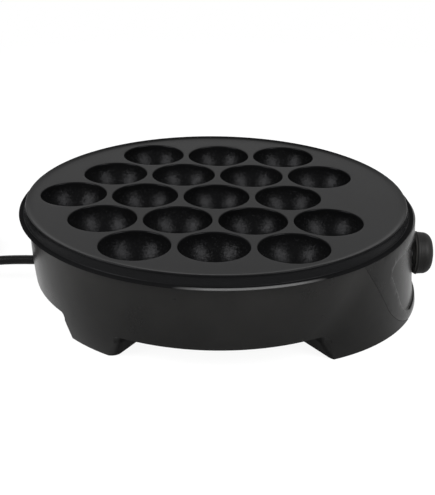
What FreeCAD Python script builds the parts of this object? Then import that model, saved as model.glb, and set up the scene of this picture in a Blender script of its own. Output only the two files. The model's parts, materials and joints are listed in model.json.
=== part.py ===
import FreeCAD, Part
import math
import os
import re

import Sketcher

# ---------------------------------------------------------------------------
# An electric takoyaki maker: a cast plate with hemispherical cups on a moulded
# body, with a thermostat knob on one side and a mains cord on the other.
#
# Millimetres. The table is Z = 0, the knob points along +X and the cord leaves
# along -X. Every piece is drawn about the plate's axis and then moved along X
# by the same amount, so that the origin is the middle of the object's footprint.
# ---------------------------------------------------------------------------

SIZES = {
    # cast plate
    "face_height": 60.5,            # cooking face above the table
    "plate_wall": 3.2,              # thickness of the flat plate
    "cup_radius": 20.0,             # inside radius of a cup, and half its mouth
    "cup_wall": 2.6,
    "cup_pitch": 43.5,              # centre to centre, in a hexagonal grid
    "cup_edge": 0.7,                # rounding of a cup's mouth
    "dish_radius": 106.0,           # where the flat face starts to turn up
    "lip_radius": 115.0,            # crest of the raised lip
    "lip_rise": 1.2,                # crest above the cooking face
    "foot_radius": 116.0,           # foot of the plate's outer wall
    "flange_radius": 118.9,
    "flange_drop": 4.4,             # top of the flange below the cooking face
    "flange_wall": 1.2,
    "flange_edge": 0.5,
    "lip_edge": 0.6,
    "rim_corner": 1.5,
    "rim_inner": 112.4,             # inside of the plate's outer wall
    "rib_inner": 57.5,              # cast ring that carries the element
    "rib_outer": 70.0,
    "rib_height": 9.0,
    "element_depth": 24.2,          # element's axis below the cooking face
    "element_ring": 64.0,
    "element_radius": 3.3,
    "element_bend": 10.0,
    "element_leg": 24.0,            # cold ends run this far either side of the knob's line
    "element_end": 92.0,
    "element_fit": 0.15,
    "clamp_azimuth": 70.9,          # clamps stand where three cups leave a gap
    "clamp_reach": 8.5,             # clamp screws in and out from the element's ring
    "clamp_boss": 4.4,
    "clamp_wall": 1.0,
    "clamp_width": 8.0,
    "seal_length": 6.0,
    "seal_wall": 0.3,
    "pin_length": 6.0,
    "pin_radius": 1.3,
    "post_radius": 3.2,             # posts that carry the heat shield
    "plate_boss": 4.5,              # bosses that stand on the body's pillars
    "pillar_top": 45.0,             # height where they meet
    "pillar_ring": 105.0,
    "pillar_azimuth": 30.0,         # pillars stand this far off the X axis
    "pillar_radius": 5.5,
    "well_radius": 3.6,             # well for a plate screw's head
    "well_top": 36.0,
    "stat_post_radius": 13.0,       # cast post that warms the thermostat
    "stat_post_x": 87.0,
    "stat_rise": 9.3,               # its underside above the knob's axis
    # screws
    "screw_radius": 1.5,
    "screw_head": 2.7,
    "screw_head_wall": 2.0,
    "screw_fit": 0.08,
    "hole_fit": 0.3,
    "hole_end": 1.0,                # a blind hole runs this far past its screw
    "clamp_screw_depth": 6.0,
    "post_screw_depth": 7.0,
    "pillar_screw_depth": 9.0,
    "stat_screw_depth": 7.0,
    "fuse_screw_depth": 1.0,
    "cover_screw_depth": 7.5,
    "cord_screw_depth": 7.0,
    "cut_over": 1.0,                # a tool starts this far outside what it cuts
    # moulded body
    "body_gap": 0.8,                # air gap between flange and body
    "body_wall": 2.8,
    "body_top_radius": 113.2,
    "body_mid_radius": 112.5,
    "body_low_radius": 110.7,
    "body_foot_radius": 108.2,
    "mid_height": 33.5,
    "low_height": 15.5,
    "pod_centre": 23.0,             # centre of the bulge on the knob side
    "pod_top_radius": 97.4,
    "pod_mid_radius": 98.6,
    "pod_low_radius": 99.9,
    "pod_foot_radius": 101.6,
    "pod_wall": 2.2,                # extra wall behind the control panel
    "bead_height": 3.0,             # band round the top of the wall
    "bead_rise": 0.35,
    "floor_height": 15.75,           # underside of the body between its legs
    "floor_wall": 2.5,
    "leg_bottom": 0.6,              # legs stop short of the table, on their pads
    "leg_inner": 84.2,
    "leg_floor": 3.4,
    "leg_corner": 6.0,              # rounding between the wall and a leg's side, seen from above
    "arch_round": 5.0,              # rounding under the floor
    "arch_left": 27.5,              # half angles of the arches at the floor and at the table
    "arch_left_foot": 30.1,
    "arch_right": 33.0,
    "arch_right_foot": 36.1,
    "arch_rear": 38.2,
    "arch_rear_foot": 40.0,
    "arch_near": 55.0,              # the arches' tools reach from here to here
    "arch_far": 150.0,
    "arch_clear": 20.0,             # and this far out of the wall at their corners
    "leg_azimuth": 129.5,
    "leg_half_angle": 6.5,
    "leg_hollow_in": 87.4,
    "leg_hollow_out": 104.5,
    "skirt_half_angle": 47.0,
    "pod_hollow_out": 94.5,         # outside of the skirt's hollow, about the bulge's centre
    "pod_half_angle": 56.0,
    "opening_radius": 72.0,         # hole in the floor, closed by the base cover
    "cover_fit": 0.5,
    "cover_wall": 2.2,
    "cover_screw_ring": 78.0,
    "cover_boss": 4.2,
    "cover_boss_top": 25.0,
    "vent_inner": 26.0,
    "vent_outer": 56.0,
    "vent_half_width": 2.0,
    "vent_ease": 0.4,               # the slots' ends are a little flatter than half circles
    "pad_radius": 6.5,
    "pad_sink": 1.4,                # depth of a pad's seat in its leg
    "pad_fit": 0.1,
    "pad_ring": 96.0,
    "pad_skirt_azimuth": 44.0,
    # control panel, outlined as seen from the knob side
    "panel_top": 79.3,              # half width at the body's top edge
    "panel_low": 64.0,              # half width where the side turns in
    "panel_low_height": 17.5,
    "panel_toe": 41.5,              # half width at the body's lower edge
    "panel_turn": 31.4,
    "panel_wall": 2.8,
    "panel_gap": 0.15,
    "dial_top": 52.0,               # recessed dial area
    "dial_top_height": 45.0,
    "dial_side": 60.5,
    "dial_side_height": 37.5,
    "dial_low": 52.0,
    "dial_low_height": 17.5,
    "dial_toe": 40.0,
    "dial_toe_height": 5.0,
    "dial_toe_inset": 3.0,
    "dial_corner": 8.6,
    "dial_turn": 18.0,
    "dial_depth": 1.4,
    # knob and thermostat
    "knob_height": 25.3,            # axis above the table
    "knob_gap": 1.9,                # from the panel to the knob's collar
    "knob_collar": 13.4,
    "knob_collar_wall": 1.0,
    "knob_radius": 13.1,
    "knob_nose": 12.8,
    "knob_length": 11.1,
    "knob_round": 6.0,
    "knob_crown": 0.8,              # rise of the nose's middle
    "knob_groove": 0.3,             # step between the collar and the body
    "knob_hub": 7.5,
    "knob_hub_reach": 1.7,          # the hub starts this far behind the collar
    "shaft_radius": 3.0,
    "shaft_fit": 0.06,
    "shaft_flat": 1.7,              # height of the shaft's flat above its axis
    "shaft_start": 93.0,
    "shaft_reach": 7.5,             # the shaft ends this far inside the knob
    "flat_reach": 5.5,              # and its flat starts this far behind the collar
    "bushing_radius": 4.6,
    "bushing_end": 108.0,
    "bushing_fit": 0.05,
    "bore_gap": 0.8,                # room round the shaft in the body and the panel
    "end_play": 0.5,                # free length past the shaft's and the spring's ends
    "spring_wall": 0.5,
    "spring_width": 3.6,
    "spring_start": 6.0,
    "stat_back": 75.0,
    "stat_front": 99.0,
    "stat_half_width": 6.3,
    "stat_drop": 6.6,
    "bracket_back": 76.0,
    "bracket_wall": 1.2,
    "bracket_half_width": 12.0,
    "bracket_screw": 9.4,
    "nut_radius": 7.0,
    "nut_wall": 2.5,
    # heat shield
    "shield_wall": 0.8,
    "shield_height": 27.0,          # top of its flat middle
    "shield_flat": 46.0,
    "shield_rim": 94.0,
    "shield_rim_height": 33.0,
    "shield_notch": 32.0,
    "shield_notch_x": 62.0,
    # thermal fuse
    "fuse_x": 105.5,
    "fuse_radius": 2.2,
    "fuse_half_length": 6.0,
    "fuse_shift": 2.0,
    "fuse_boss": 3.4,
    "fuse_screw": 8.5,
    "strap_wall": 0.8,
    "strap_half_width": 2.6,
    "strap_tab": 3.2,
    "strap_reach": 5.0,
    # cord and grommet
    "cord_radius": 2.9,
    "cord_height": 15.8,
    "grommet_proud": 2.1,           # its neck stands out of the wall
    "grommet_seat": 4.2,            # and its head starts this far inside it
    "grommet_reach": 17.7,
    "grommet_half_width": 4.6,
    "grommet_head": 8.0,
    "grommet_top": 25.0,
    "grommet_low": 12.7,            # its neck hangs a little below the floor
    "grommet_fit": 0.15,
    "grommet_lap": 0.4,             # the head starts this far into the neck
    "cord_clamp_reach": 11.2,
    "cord_clamp_half": 3.5,
    "cord_clamp_wall": 1.6,
    "cord_clamp_screw": 12.0,
    "cord_boss": 3.4,
    "lead_radius": 1.1,
    "lead_gap": 0.12,               # from a lead's end to what it is joined to
    "coil_inner": 20.7,             # centre line of the coil's innermost turn
    "coil_outer": 38.1,             # and of its outermost
    "coil_x": 190.0,
    "coil_layers": 2.0,
    "coil_round": 2.2,
    "plug_back": 250.0,
    "relief_length": 24.0,
    "plug_length": 34.0,
    "plug_half_width": 11.0,
    "plug_height": 15.0,
    "plug_round": 4.0,
    "relief_small": 3.5,
    "relief_radius": 6.2,
    "relief_lap": 3.0,
    "blade_length": 17.5,
    "blade_height": 6.3,
    "blade_wall": 1.5,
    "blade_spacing": 12.7,
}

# Places that follow from the sizes above.
PLACES = {
    "stat_top": "knob_height+stat_rise",
    "stat_bottom": "knob_height-stat_drop",
    "knob_back": "pod_centre+pod_mid_radius+knob_gap",
    "knob_end": "knob_back+knob_length",
    "knob_hub_back": "knob_back-knob_hub_reach",
    "shaft_end": "knob_back+shaft_reach",
    "flat_start": "knob_back-flat_reach",
    "grommet_out": "body_low_radius+grommet_proud",
    "grommet_neck": "body_low_radius-grommet_seat",
    "grommet_in": "body_low_radius-grommet_reach",
    "cord_clamp_x": "body_low_radius-cord_clamp_reach",
}
NAMES = {**SIZES, **PLACES}

VENT_COUNT = 16
ARCH_TURNS = ("0", "22.5", "45", "67.5", "90")     # of an arch's rounding, where its plans are drawn
BEND_SHARE = 0.45       # share of a straight run that each of its bends may take

# Cord from the grommet to the coil, and from the coil to the plug: points chosen by hand.
CORD_POINTS = [
    ("-grommet_out-lead_gap", "0", "cord_height"),
    ("-grommet_out-22", "0.3", "cord_height-0.2"),
    ("-grommet_out-40", "0.2", "cord_height-4.2"),
    ("-coil_x+19", "-0.4", "3*cord_radius+0.5"),
    ("-coil_x+6", "0", "3*cord_radius"),
]
TAIL_POINTS = [
    ("-coil_x-8", "0", "cord_radius"),
    ("-coil_x-21", "-1", "cord_radius+0.1"),
    ("-coil_x-36", "-1", "cord_radius+2.2"),
    ("-plug_back+9", "0", "plug_height/2"),
    ("-plug_back", "0", "plug_height/2"),
]
# Inner leads, routed between the floor and the heat shield.
PIN_END = "element_end+seal_length+pin_length+lead_gap"
LEADS = {
    "lead_live": [
        ("-grommet_in+lead_gap", "-2", "20"), ("-72", "-5", "20.5"), ("-40", "3", "21"), ("-2", "-6", "20.8"),
        ("34", "2", "21"), ("60", "-3", "22"), ("stat_back-lead_gap", "-3", "22.4")],
    "lead_heater": [
        ("stat_back-lead_gap", "-3", "30.4"), ("69", "-4.5", "30.4"), ("64", "-14", "30.6"), ("72", "-25", "30.8"),
        ("90", "-31", "31.5"), ("107", "-30.5", "33.8"), ("111", "-24", "36.3"), (PIN_END, "-24", "36.3")],
    "lead_neutral": [
        ("-grommet_in+lead_gap", "2", "20"), ("-74", "7", "20.4"), ("-44", "16", "21"), ("-8", "22", "21"),
        ("28", "31", "21.2"), ("58", "36", "22.5"), ("80", "38", "27"), ("98", "36", "33"),
        ("109.5", "30", "36"), ("110", "24", "36.3"), (PIN_END, "24", "36.3")],
}

DOC = FreeCAD.newDocument("TakoyakiMaker")
SHEET = DOC.addObject("Spreadsheet::Sheet", "Sizes")
PARTS = []


# --- the sheet and its formulas --------------------------------------------

def fill_sheet():
    """One row for each driving size and each place: its name, its value or formula, and its alias."""
    for row, (name, value) in enumerate(NAMES.items(), start=1):
        SHEET.set("A%d" % row, name)
        SHEET.set("B%d" % row, "=" + value if name in PLACES else str(value))
        SHEET.setAlias("B%d" % row, name)
    DOC.recompute()


def formula(text):
    """The formula with each size called by its place in the sheet."""
    return re.sub(r"[a-z_]+", lambda word: "Sizes." + word[0] if word[0] in NAMES else word[0], text)


def number(text):
    """What a formula comes to now."""
    return float(SHEET.evalExpression(formula(text)))


def bind(thing, prop, text):
    """Tie a property of a document object to a formula."""
    thing.setExpression(prop, formula(text))


# --- sketches ----------------------------------------------------------------

def new_body(name):
    body = DOC.addObject("PartDesign::Body", name)
    body.Label = name
    return body


def origin_feature(body, role):
    """A plane or an axis of the body's own origin."""
    return next(item for item in body.Origin.OriginFeatures if item.Role == role)


def new_sketch(body, plane, lift="0"):
    """Empty sketch on one of the body's planes, moved along that plane's normal."""
    sketch = body.newObject("Sketcher::SketchObject", body.Name + "_sketch")
    sketch.AttachmentSupport = [(origin_feature(body, plane), "")]
    sketch.MapMode = "FlatFace"
    bind(sketch, "AttachmentOffset.Base.z", lift)
    return sketch


def size_constraint(sketch, constraint, text):
    """Add a dimension whose value is a formula."""
    index = sketch.addConstraint(constraint)
    sketch.renameConstraint(index, "size%d" % index)
    bind(sketch, "Constraints.size%d" % index, text)


def pin_point(sketch, edge, end, across, up):
    """Hold one end (or the centre) of an edge at a place given by two formulas."""
    for kind, axis, text in (("DistanceX", -2, across), ("DistanceY", -1, up)):
        if text == "0":
            sketch.addConstraint(Sketcher.Constraint("PointOnObject", edge, end, axis))
        else:
            size_constraint(sketch, Sketcher.Constraint(kind, -1, 1, edge, end, number(text)), text)


def arc_edge(start, end, radius):
    """Arc from start to end, under half a turn: it turns left for a positive radius."""
    chord = end - start
    rise = math.sqrt(max(radius * radius - chord.Length ** 2 / 4, 0.0))
    left = FreeCAD.Vector(-chord.y, chord.x, 0).normalize()
    centre = (start + end) * 0.5 + left * math.copysign(rise, radius)
    first, last = (start, end) if radius > 0 else (end, start)
    angles = [math.atan2(spot.y - centre.y, spot.x - centre.x) for spot in (first, last)]
    circle = Part.Circle(centre, FreeCAD.Vector(0, 0, 1), abs(radius))
    return Part.ArcOfCircle(circle, angles[0], angles[1] + (2 * math.pi if angles[1] < angles[0] else 0))


def draw(sketch, corners, closed=True):
    """Outline. A corner is (across, up), or (across, up, radius) where an arc leaves it,
    which turns left for a plain radius and right for one that starts with a minus."""
    spots = [FreeCAD.Vector(number(corner[0]), number(corner[1]), 0) for corner in corners]
    base = sketch.GeometryCount
    count = len(corners)
    ends = []
    for index, corner in enumerate(corners if closed else corners[:-1]):
        start, end = spots[index], spots[(index + 1) % count]
        if len(corner) == 2:
            sketch.addGeometry(Part.LineSegment(start, end), False)
            ends.append((1, 2))
        else:
            radius = number(corner[2])
            sketch.addGeometry(arc_edge(start, end, radius), False)
            ends.append((1, 2) if radius > 0 else (2, 1))
    for index, corner in enumerate(corners):
        if index == len(ends):
            pin_point(sketch, base + index - 1, ends[-1][1], corner[0], corner[1])
            break
        if closed or index > 0:
            before = (index - 1) % count
            sketch.addConstraint(Sketcher.Constraint(
                "Coincident", base + before, ends[before][1], base + index, ends[index][0]))
        pin_point(sketch, base + index, ends[index][0], corner[0], corner[1])
        if len(corner) == 3:
            bare = corner[2].lstrip("-")
            size_constraint(sketch, Sketcher.Constraint("Radius", base + index, number(bare)), bare)


def draw_circle(sketch, across, up, radius):
    centre = FreeCAD.Vector(number(across), number(up), 0)
    edge = sketch.addGeometry(Part.Circle(centre, FreeCAD.Vector(0, 0, 1), number(radius)), False)
    pin_point(sketch, edge, 3, across, up)
    size_constraint(sketch, Sketcher.Constraint("Radius", edge, number(radius)), radius)


def draw_axis(sketch, across=None, up=None):
    """Construction line, upright at a distance across or level at a height."""
    if up is None:
        ends = ((across, "face_height"), (across, "face_height/2"))
    else:
        ends = (("face_height", up), ("face_height/2", up))
    spots = [FreeCAD.Vector(number(x), number(y), 0) for x, y in ends]
    edge = sketch.addGeometry(Part.LineSegment(spots[0], spots[1]), True)
    for end, (x, y) in enumerate(ends, start=1):
        pin_point(sketch, edge, end, x, y)


def polar(ring, azimuth):
    """The two coordinates of a point on a ring."""
    return "%s*cos(%s*1deg)" % (ring, azimuth), "%s*sin(%s*1deg)" % (ring, azimuth)


# --- features ------------------------------------------------------------------

def prism(body, kind, sketch, length, reverse=False, midplane=False):
    """Pad or Pocket of a sketch. A pad rises along the plane's normal, a pocket sinks against it."""
    feature = body.newObject("PartDesign::" + kind, body.Name + "_" + kind.lower())
    feature.Profile = sketch
    feature.Reversed = reverse
    if midplane:
        feature.SideType = "Symmetric"
    bind(feature, "Length", length)
    return feature


def turned(body, kind, sketch, axis="V_Axis"):
    """Revolution or Groove of a sketch through a full turn."""
    feature = body.newObject("PartDesign::" + kind, body.Name + "_" + kind.lower())
    feature.Profile = sketch
    feature.ReferenceAxis = (sketch, [axis])
    feature.Angle = 360
    return feature


def lofted(body, kind, sketches):
    feature = body.newObject("PartDesign::" + kind, body.Name + "_loft")
    feature.Profile = sketches[0]
    feature.Sections = sketches[1:]
    feature.Ruled = False
    return feature


def around(body, features, count, sweep="360", start=None):
    """Polar pattern about the upright axis. It becomes the body's tip."""
    pattern = body.newObject("PartDesign::PolarPattern", body.Name + "_pattern")
    pattern.Originals = features
    pattern.Axis = (origin_feature(body, "Z_Axis"), [""])
    bind(pattern, "Angle", sweep)
    pattern.Occurrences = count
    body.Tip = pattern
    return pattern


def rod(body, kind, x, y, low, high, radius):
    """Upright round pad or pocket between two heights."""
    sketch = new_sketch(body, "XY_Plane", low if kind == "Pad" else high)
    draw_circle(sketch, x, y, radius)
    return prism(body, kind, sketch, "(%s)-(%s)" % (high, low))


def block(body, kind, left, right, near, far, low, high):
    """Upright rectangular pad or pocket."""
    sketch = new_sketch(body, "XY_Plane", low if kind == "Pad" else high)
    draw(sketch, [(left, near), (right, near), (right, far), (left, far)])
    return prism(body, kind, sketch, "(%s)-(%s)" % (high, low))


def sector(body, kind, inner, outer, azimuth, half, low, high):
    """Upright pad or pocket over a piece of a ring."""
    sketch = new_sketch(body, "XY_Plane", low if kind == "Pad" else high)
    before, after = "(%s-%s)" % (azimuth, half), "(%s+%s)" % (azimuth, half)
    draw(sketch, [polar(outer, before) + (outer,), polar(outer, after),
                  polar(inner, after) + ("-" + inner,), polar(inner, before)])
    return prism(body, kind, sketch, "(%s)-(%s)" % (high, low))


def boolean(kind, name, base, tool):
    """Part::Cut or Part::Common of two objects."""
    result = DOC.addObject("Part::" + kind, name)
    result.Base = base
    result.Tool = tool
    result.Refine = True
    return result


def fused(name, pieces):
    result = DOC.addObject("Part::MultiFuse", name)
    result.Shapes = pieces
    result.Refine = True
    return result


def screws(name, spots, low, top):
    """Screws that point up from below: head first, then the shank."""
    body = new_body(name)
    for x, y in spots:
        rod(body, "Pad", x, y, low, low + "+screw_head_wall", "screw_head")
        rod(body, "Pad", x, y, low + "+screw_head_wall", top, "screw_radius")
    keep(body, name)


def keep(thing, label):
    """Name a finished sub-part and move it from the plate's axis to the middle of the footprint."""
    thing.Label = label
    bind(thing, "Placement.Base.x", "(flange_radius-knob_end)/2")
    PARTS.append(thing)
    return thing


# --- cast plate ------------------------------------------------------------------

UNDER = "(face_height-plate_wall)"
RIB_LOW = "(face_height-element_depth)"
BODY_TOP = "(face_height-flange_drop-flange_wall-body_gap)"
FLOOR_TOP = "(floor_height+floor_wall)"
GROMMET_TOP = "(floor_wall+grommet_top)"
HOLE = "(screw_radius+screw_fit)"
LOOSE_HOLE = "(screw_radius+hole_fit)"

POST_SPOTS = [polar("cup_pitch/sqrt(3)", str(azimuth)) for azimuth in (30, 150, 270)]
PILLAR_SPOTS = [polar("pillar_ring", azimuth) for azimuth in (
    "pillar_azimuth", "(180-pillar_azimuth)", "(180+pillar_azimuth)", "(-pillar_azimuth)")]
CLAMP_SPOTS = [polar("(element_ring%sclamp_reach)" % side, "(clamp_azimuth+%d)" % turn)
               for turn in (0, 120, 240) for side in "-+"]
COVER_SPOTS = [polar("cover_screw_ring", str(azimuth)) for azimuth in (45, 135, 225, 315)]
BRACKET_SPOTS = [("stat_post_x", "bracket_screw"), ("stat_post_x", "-bracket_screw")]
PAD_SPOTS = [polar("pad_ring", azimuth) for azimuth in (
    "leg_azimuth", "(-leg_azimuth)", "pad_skirt_azimuth", "(-pad_skirt_azimuth)")]


def cup_shells():
    """Balls around the cups, cut off just under the face. Each is turned so that its seam
    stays clear of its neighbours."""
    balls = []
    rings = [("0", (0,)), ("cup_pitch", range(0, 360, 60)), ("cup_pitch*sqrt(3)", range(30, 390, 60)),
             ("2*cup_pitch", range(60, 360, 60))]
    for ring, azimuths in rings:
        for azimuth in azimuths:
            ball = DOC.addObject("Part::Sphere", "cup_shell")
            bind(ball, "Radius", "cup_radius+cup_wall")
            ball.Angle2 = 0
            x, y = polar(ring, str(azimuth))
            bind(ball, "Placement.Base.x", x)
            bind(ball, "Placement.Base.y", y)
            bind(ball, "Placement.Base.z", "face_height-0.01")
            bind(ball, "Placement.Rotation.Angle", "%d*1deg" % (azimuth + 20))
            balls.append(ball)
    return balls


def cup_bowls():
    """Hemispheres with a rounded mouth, one for each cup. The outer ring's cup on the knob side
    is left out for the thermostat's post."""
    body = new_body("cup_bowls")
    row = "cup_pitch*sqrt(3)"
    for x, y, count, sweep in (("0", "0", 1, "0"), ("cup_pitch", "0", 6, "360"), ("0", row, 6, "360"),
                               ("cup_pitch", "-" + row, 5, "240")):
        sketch = new_sketch(body, "XZ_Plane", y)
        draw(sketch, [
            (x, "face_height-cup_radius", "cup_radius"),
            (x + "+cup_radius", "face_height-cup_edge", "-cup_edge"),
            (x + "+cup_radius+cup_edge", "face_height"), (x + "+cup_radius+cup_edge", "face_height+lip_rise"),
            (x, "face_height+lip_rise")])
        draw_axis(sketch, across=x)
        feature = turned(body, "Revolution", sketch, "Axis0")
        if count > 1:
            around(body, [feature], count, sweep)
    return body


def pan():
    """Flat face, raised lip, outer wall and flange in one section."""
    body = new_body("pan")
    flange_top = "face_height-flange_drop"
    flange_low = flange_top + "-flange_wall"
    crest = "face_height+lip_rise"
    sketch = new_sketch(body, "XZ_Plane")
    draw(sketch, [
        ("0", UNDER), ("rim_inner-rim_corner", UNDER, "-rim_corner"), ("rim_inner", UNDER + "-rim_corner"),
        ("rim_inner", flange_low), ("flange_radius-flange_edge", flange_low, "flange_edge"),
        ("flange_radius", flange_low + "+flange_edge"),
        ("flange_radius", flange_top + "-flange_edge", "flange_edge"),
        ("flange_radius-flange_edge", flange_top), ("foot_radius", flange_top),
        ("lip_radius+lip_edge", crest + "-lip_edge", "lip_edge"),
        ("lip_radius", crest), ("dish_radius", "face_height"), ("0", "face_height")])
    turned(body, "Revolution", sketch)
    return body


def element_path(name, radius):
    """Round bar along the element's line: most of a ring with two ends that run out to the knob side."""
    body = new_body(name)
    depth = RIB_LOW
    centre_y = "(element_leg+element_bend)"
    centre_x = "sqrt((element_ring+element_bend)^2-%s^2)" % centre_y
    share = "element_ring/(element_ring+element_bend)"
    spine = new_sketch(body, "XY_Plane", depth)
    line = [("element_end", "element_leg"), (centre_x, "element_leg", "-element_bend"),
            ("%s*%s" % (share, centre_x), "%s*%s" % (share, centre_y), "element_ring"),
            ("-element_ring", "0", "element_ring"),
            ("%s*%s" % (share, centre_x), "-%s*%s" % (share, centre_y), "-element_bend"),
            (centre_x, "-element_leg"), ("element_end", "-element_leg")]
    draw(spine, line, closed=False)
    section = new_sketch(body, "YZ_Plane", "element_end")
    draw_circle(section, "element_leg", depth, radius)
    pipe = body.newObject("PartDesign::AdditivePipe", name + "_pipe")
    pipe.Profile = section
    pipe.Spine = (spine, [])
    return body


def takoyaki_plate():
    rib = new_body("rib")
    sketch = new_sketch(rib, "YZ_Plane")
    draw(sketch, [("rib_inner", RIB_LOW), ("rib_outer", RIB_LOW), ("rib_outer", RIB_LOW + "+rib_height"),
                  ("rib_inner", RIB_LOW + "+rib_height")])
    turned(rib, "Revolution", sketch)
    bosses = new_body("plate_bosses")
    for x, y in CLAMP_SPOTS:
        rod(bosses, "Pad", x, y, RIB_LOW, UNDER, "clamp_boss")
    for x, y in POST_SPOTS:
        rod(bosses, "Pad", x, y, "shield_height", UNDER + "+cut_over", "post_radius")
    for x, y in PILLAR_SPOTS:
        rod(bosses, "Pad", x, y, "pillar_top", UNDER + "+cut_over", "plate_boss")
    rod(bosses, "Pad", "stat_post_x", "0", "stat_top", UNDER + "+cut_over", "stat_post_radius")
    rod(bosses, "Pad", "fuse_x", "-fuse_screw", UNDER + "-2*fuse_radius", UNDER + "+cut_over", "fuse_boss")
    solid = fused("plate_solid", [pan(), rib, bosses] + cup_shells())
    holes = new_body("plate_holes")
    for x, y in CLAMP_SPOTS:
        rod(holes, "Pad", x, y, RIB_LOW + "-cut_over", RIB_LOW + "+clamp_screw_depth+hole_end", HOLE)
    for x, y in POST_SPOTS:
        rod(holes, "Pad", x, y, "shield_height-cut_over", "shield_height+post_screw_depth+hole_end", HOLE)
    for x, y in PILLAR_SPOTS:
        rod(holes, "Pad", x, y, "pillar_top-cut_over", "pillar_top+pillar_screw_depth+hole_end", HOLE)
    for x, y in BRACKET_SPOTS:
        rod(holes, "Pad", x, y, "stat_top-cut_over", "stat_top+stat_screw_depth+hole_end", HOLE)
    rod(holes, "Pad", "fuse_x", "-fuse_screw", UNDER + "-2*fuse_radius-cut_over",
        UNDER + "+fuse_screw_depth+hole_end/2", HOLE)
    hollow = boolean("Cut", "plate_bowled", solid, cup_bowls())
    drilled = boolean("Cut", "plate_drilled", hollow, holes)
    channel = element_path("element_channel", "(element_radius+element_fit)")
    keep(boolean("Cut", "takoyaki_plate", drilled, channel), "takoyaki_plate")


# --- moulded body ------------------------------------------------------------------

def hull_outline(big, small, centre):
    """A circle about the plate's axis and a smaller one beside it, joined by their common tangents."""
    lean = "((%s-%s)/%s)" % (big, small, centre)
    rise = "sqrt(1-%s^2)" % lean
    return [("%s+%s*%s" % (centre, small, lean), "-%s*%s" % (small, rise), small),
            ("%s+%s*%s" % (centre, small, lean), "%s*%s" % (small, rise)),
            ("%s*%s" % (big, lean), "%s*%s" % (big, rise), big),
            ("-" + big, "0", big),
            ("%s*%s" % (big, lean), "-%s*%s" % (big, rise))]


def body_form(name, inset, shift, levels):
    """Loft of hull outlines, set in from the body's outside. Shift thickens the knob side."""
    body = new_body(name)
    sketches = []
    for height, level in levels:
        sketch = new_sketch(body, "XY_Plane", height)
        big, small = ("(%s_%s_radius-%s)" % (part, level, inset) for part in ("body", "pod"))
        draw(sketch, hull_outline(big, small, "(pod_centre-%s)" % shift))
        sketches.append(sketch)
    lofted(body, "AdditiveLoft", sketches)
    return body


def whole_form(name, inset):
    levels = [("leg_bottom", "foot"), ("low_height", "low"), ("mid_height", "mid"), (BODY_TOP, "top")]
    return body_form(name, inset, "0", levels)


def arch_side(azimuth, side, level, lean):
    """Points of an arch's plan on one side, from the inside out: along the leg's side, round the
    leg's corner and straight out of the wall. Side is "1" where the leg lies at a larger azimuth
    and "-1" where it lies at a smaller one. Lean turns the wall's normal towards the leg."""
    wall = "(body_%s_radius-leg_corner)" % level
    reach = "((%s-leg_corner*sin(%s))/cos(%s))" % (wall, lean, lean)

    def spot(out, across):
        along, aside = ("%s(%s*1deg)" % (wave, azimuth) for wave in ("cos", "sin"))
        across = "(%s)*(%s)" % (side, across)
        return "%s*%s-%s*%s" % (out, along, across, aside), "%s*%s+%s*%s" % (out, aside, across, along)

    outer = "(leg_corner+arch_clear)"
    return [spot("arch_near", "0"), spot(reach, "0"),
            spot("(%s+leg_corner*cos(%s))" % (reach, lean), "leg_corner+leg_corner*sin(%s)" % lean),
            spot("(%s+%s*cos(%s))" % (reach, outer, lean), "leg_corner+%s*sin(%s)" % (outer, lean))]


def arch_lean(side, level, foot):
    """How far the wall's normal is turned towards the leg, at the leg's corner."""
    if side == "right":
        normal = "acos((body_%s_radius-pod_%s_radius)/pod_centre)" % (level, level)
        return "(90deg-arch_right%s*1deg-%s)" % (foot, normal)
    return "(asin(leg_corner/body_%s_radius)/2)" % level


def arch(name, azimuth, before, after):
    """Tool that opens one arch: plans at the table and where its rounding starts, and more of them
    round to the floor. Before and after name its sides at the smaller and the larger azimuth."""
    body = new_body(name)
    steps = [("leg_bottom-cut_over", "foot", "_foot", "0")]
    for turn in ARCH_TURNS:
        steps.append(("floor_height-arch_round*(1-sin(%sdeg))" % turn, "low", "",
                      "asin(arch_round*(1-cos(%sdeg))/body_low_radius)/1deg" % turn))
    sketches = []
    for height, level, foot, narrower in steps:
        near, far = (arch_side("(%d%s(arch_%s%s-%s))" % (azimuth, sign, side, foot, narrower),
                               sign + "1", level, arch_lean(side, level, foot))
                     for sign, side in (("-", before), ("+", after)))
        sketch = new_sketch(body, "XY_Plane", height)
        draw(sketch, [near[0], near[1] + ("-leg_corner",), near[2], near[3], polar("arch_far", str(azimuth)),
                      far[3], far[2] + ("-leg_corner",), far[1], far[0]])
        sketches.append(sketch)
    lofted(body, "AdditiveLoft", sketches).Ruled = True
    return body


def panel_outline(gap):
    """Tongue that widens to the top, seen along the knob's axis."""
    toe, low, top, turn = ("(panel_%s-%s)" % (name, gap) for name in ("toe", "low", "top", "turn"))
    return [("-" + toe, "leg_bottom-cut_over"), (toe, "leg_bottom-cut_over"), (toe, "leg_bottom", turn),
            (low, "panel_low_height"), (top, BODY_TOP), (top, "face_height"), ("-" + top, "face_height"),
            ("-" + top, BODY_TOP), ("-" + low, "panel_low_height", turn), ("-" + toe, "leg_bottom")]


def dial_outline():
    """Rounded shield inside the tongue."""
    return [("-dial_toe+dial_toe_inset", "dial_toe_height"),
            ("dial_toe-dial_toe_inset", "dial_toe_height", "dial_turn"), ("dial_low", "dial_low_height"),
            ("dial_side", "dial_side_height", "dial_corner"),
            ("dial_top", "dial_top_height"), ("-dial_top", "dial_top_height", "dial_corner"),
            ("-dial_side", "dial_side_height"), ("-dial_low", "dial_low_height", "dial_turn")]


def along_knob(name, outline):
    """Prism along the knob's axis, on the knob side only."""
    body = new_body(name)
    sketch = new_sketch(body, "YZ_Plane", "pod_centre")
    draw(sketch, outline)
    prism(body, "Pad", sketch, "knob_end-pod_centre")
    return body


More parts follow.
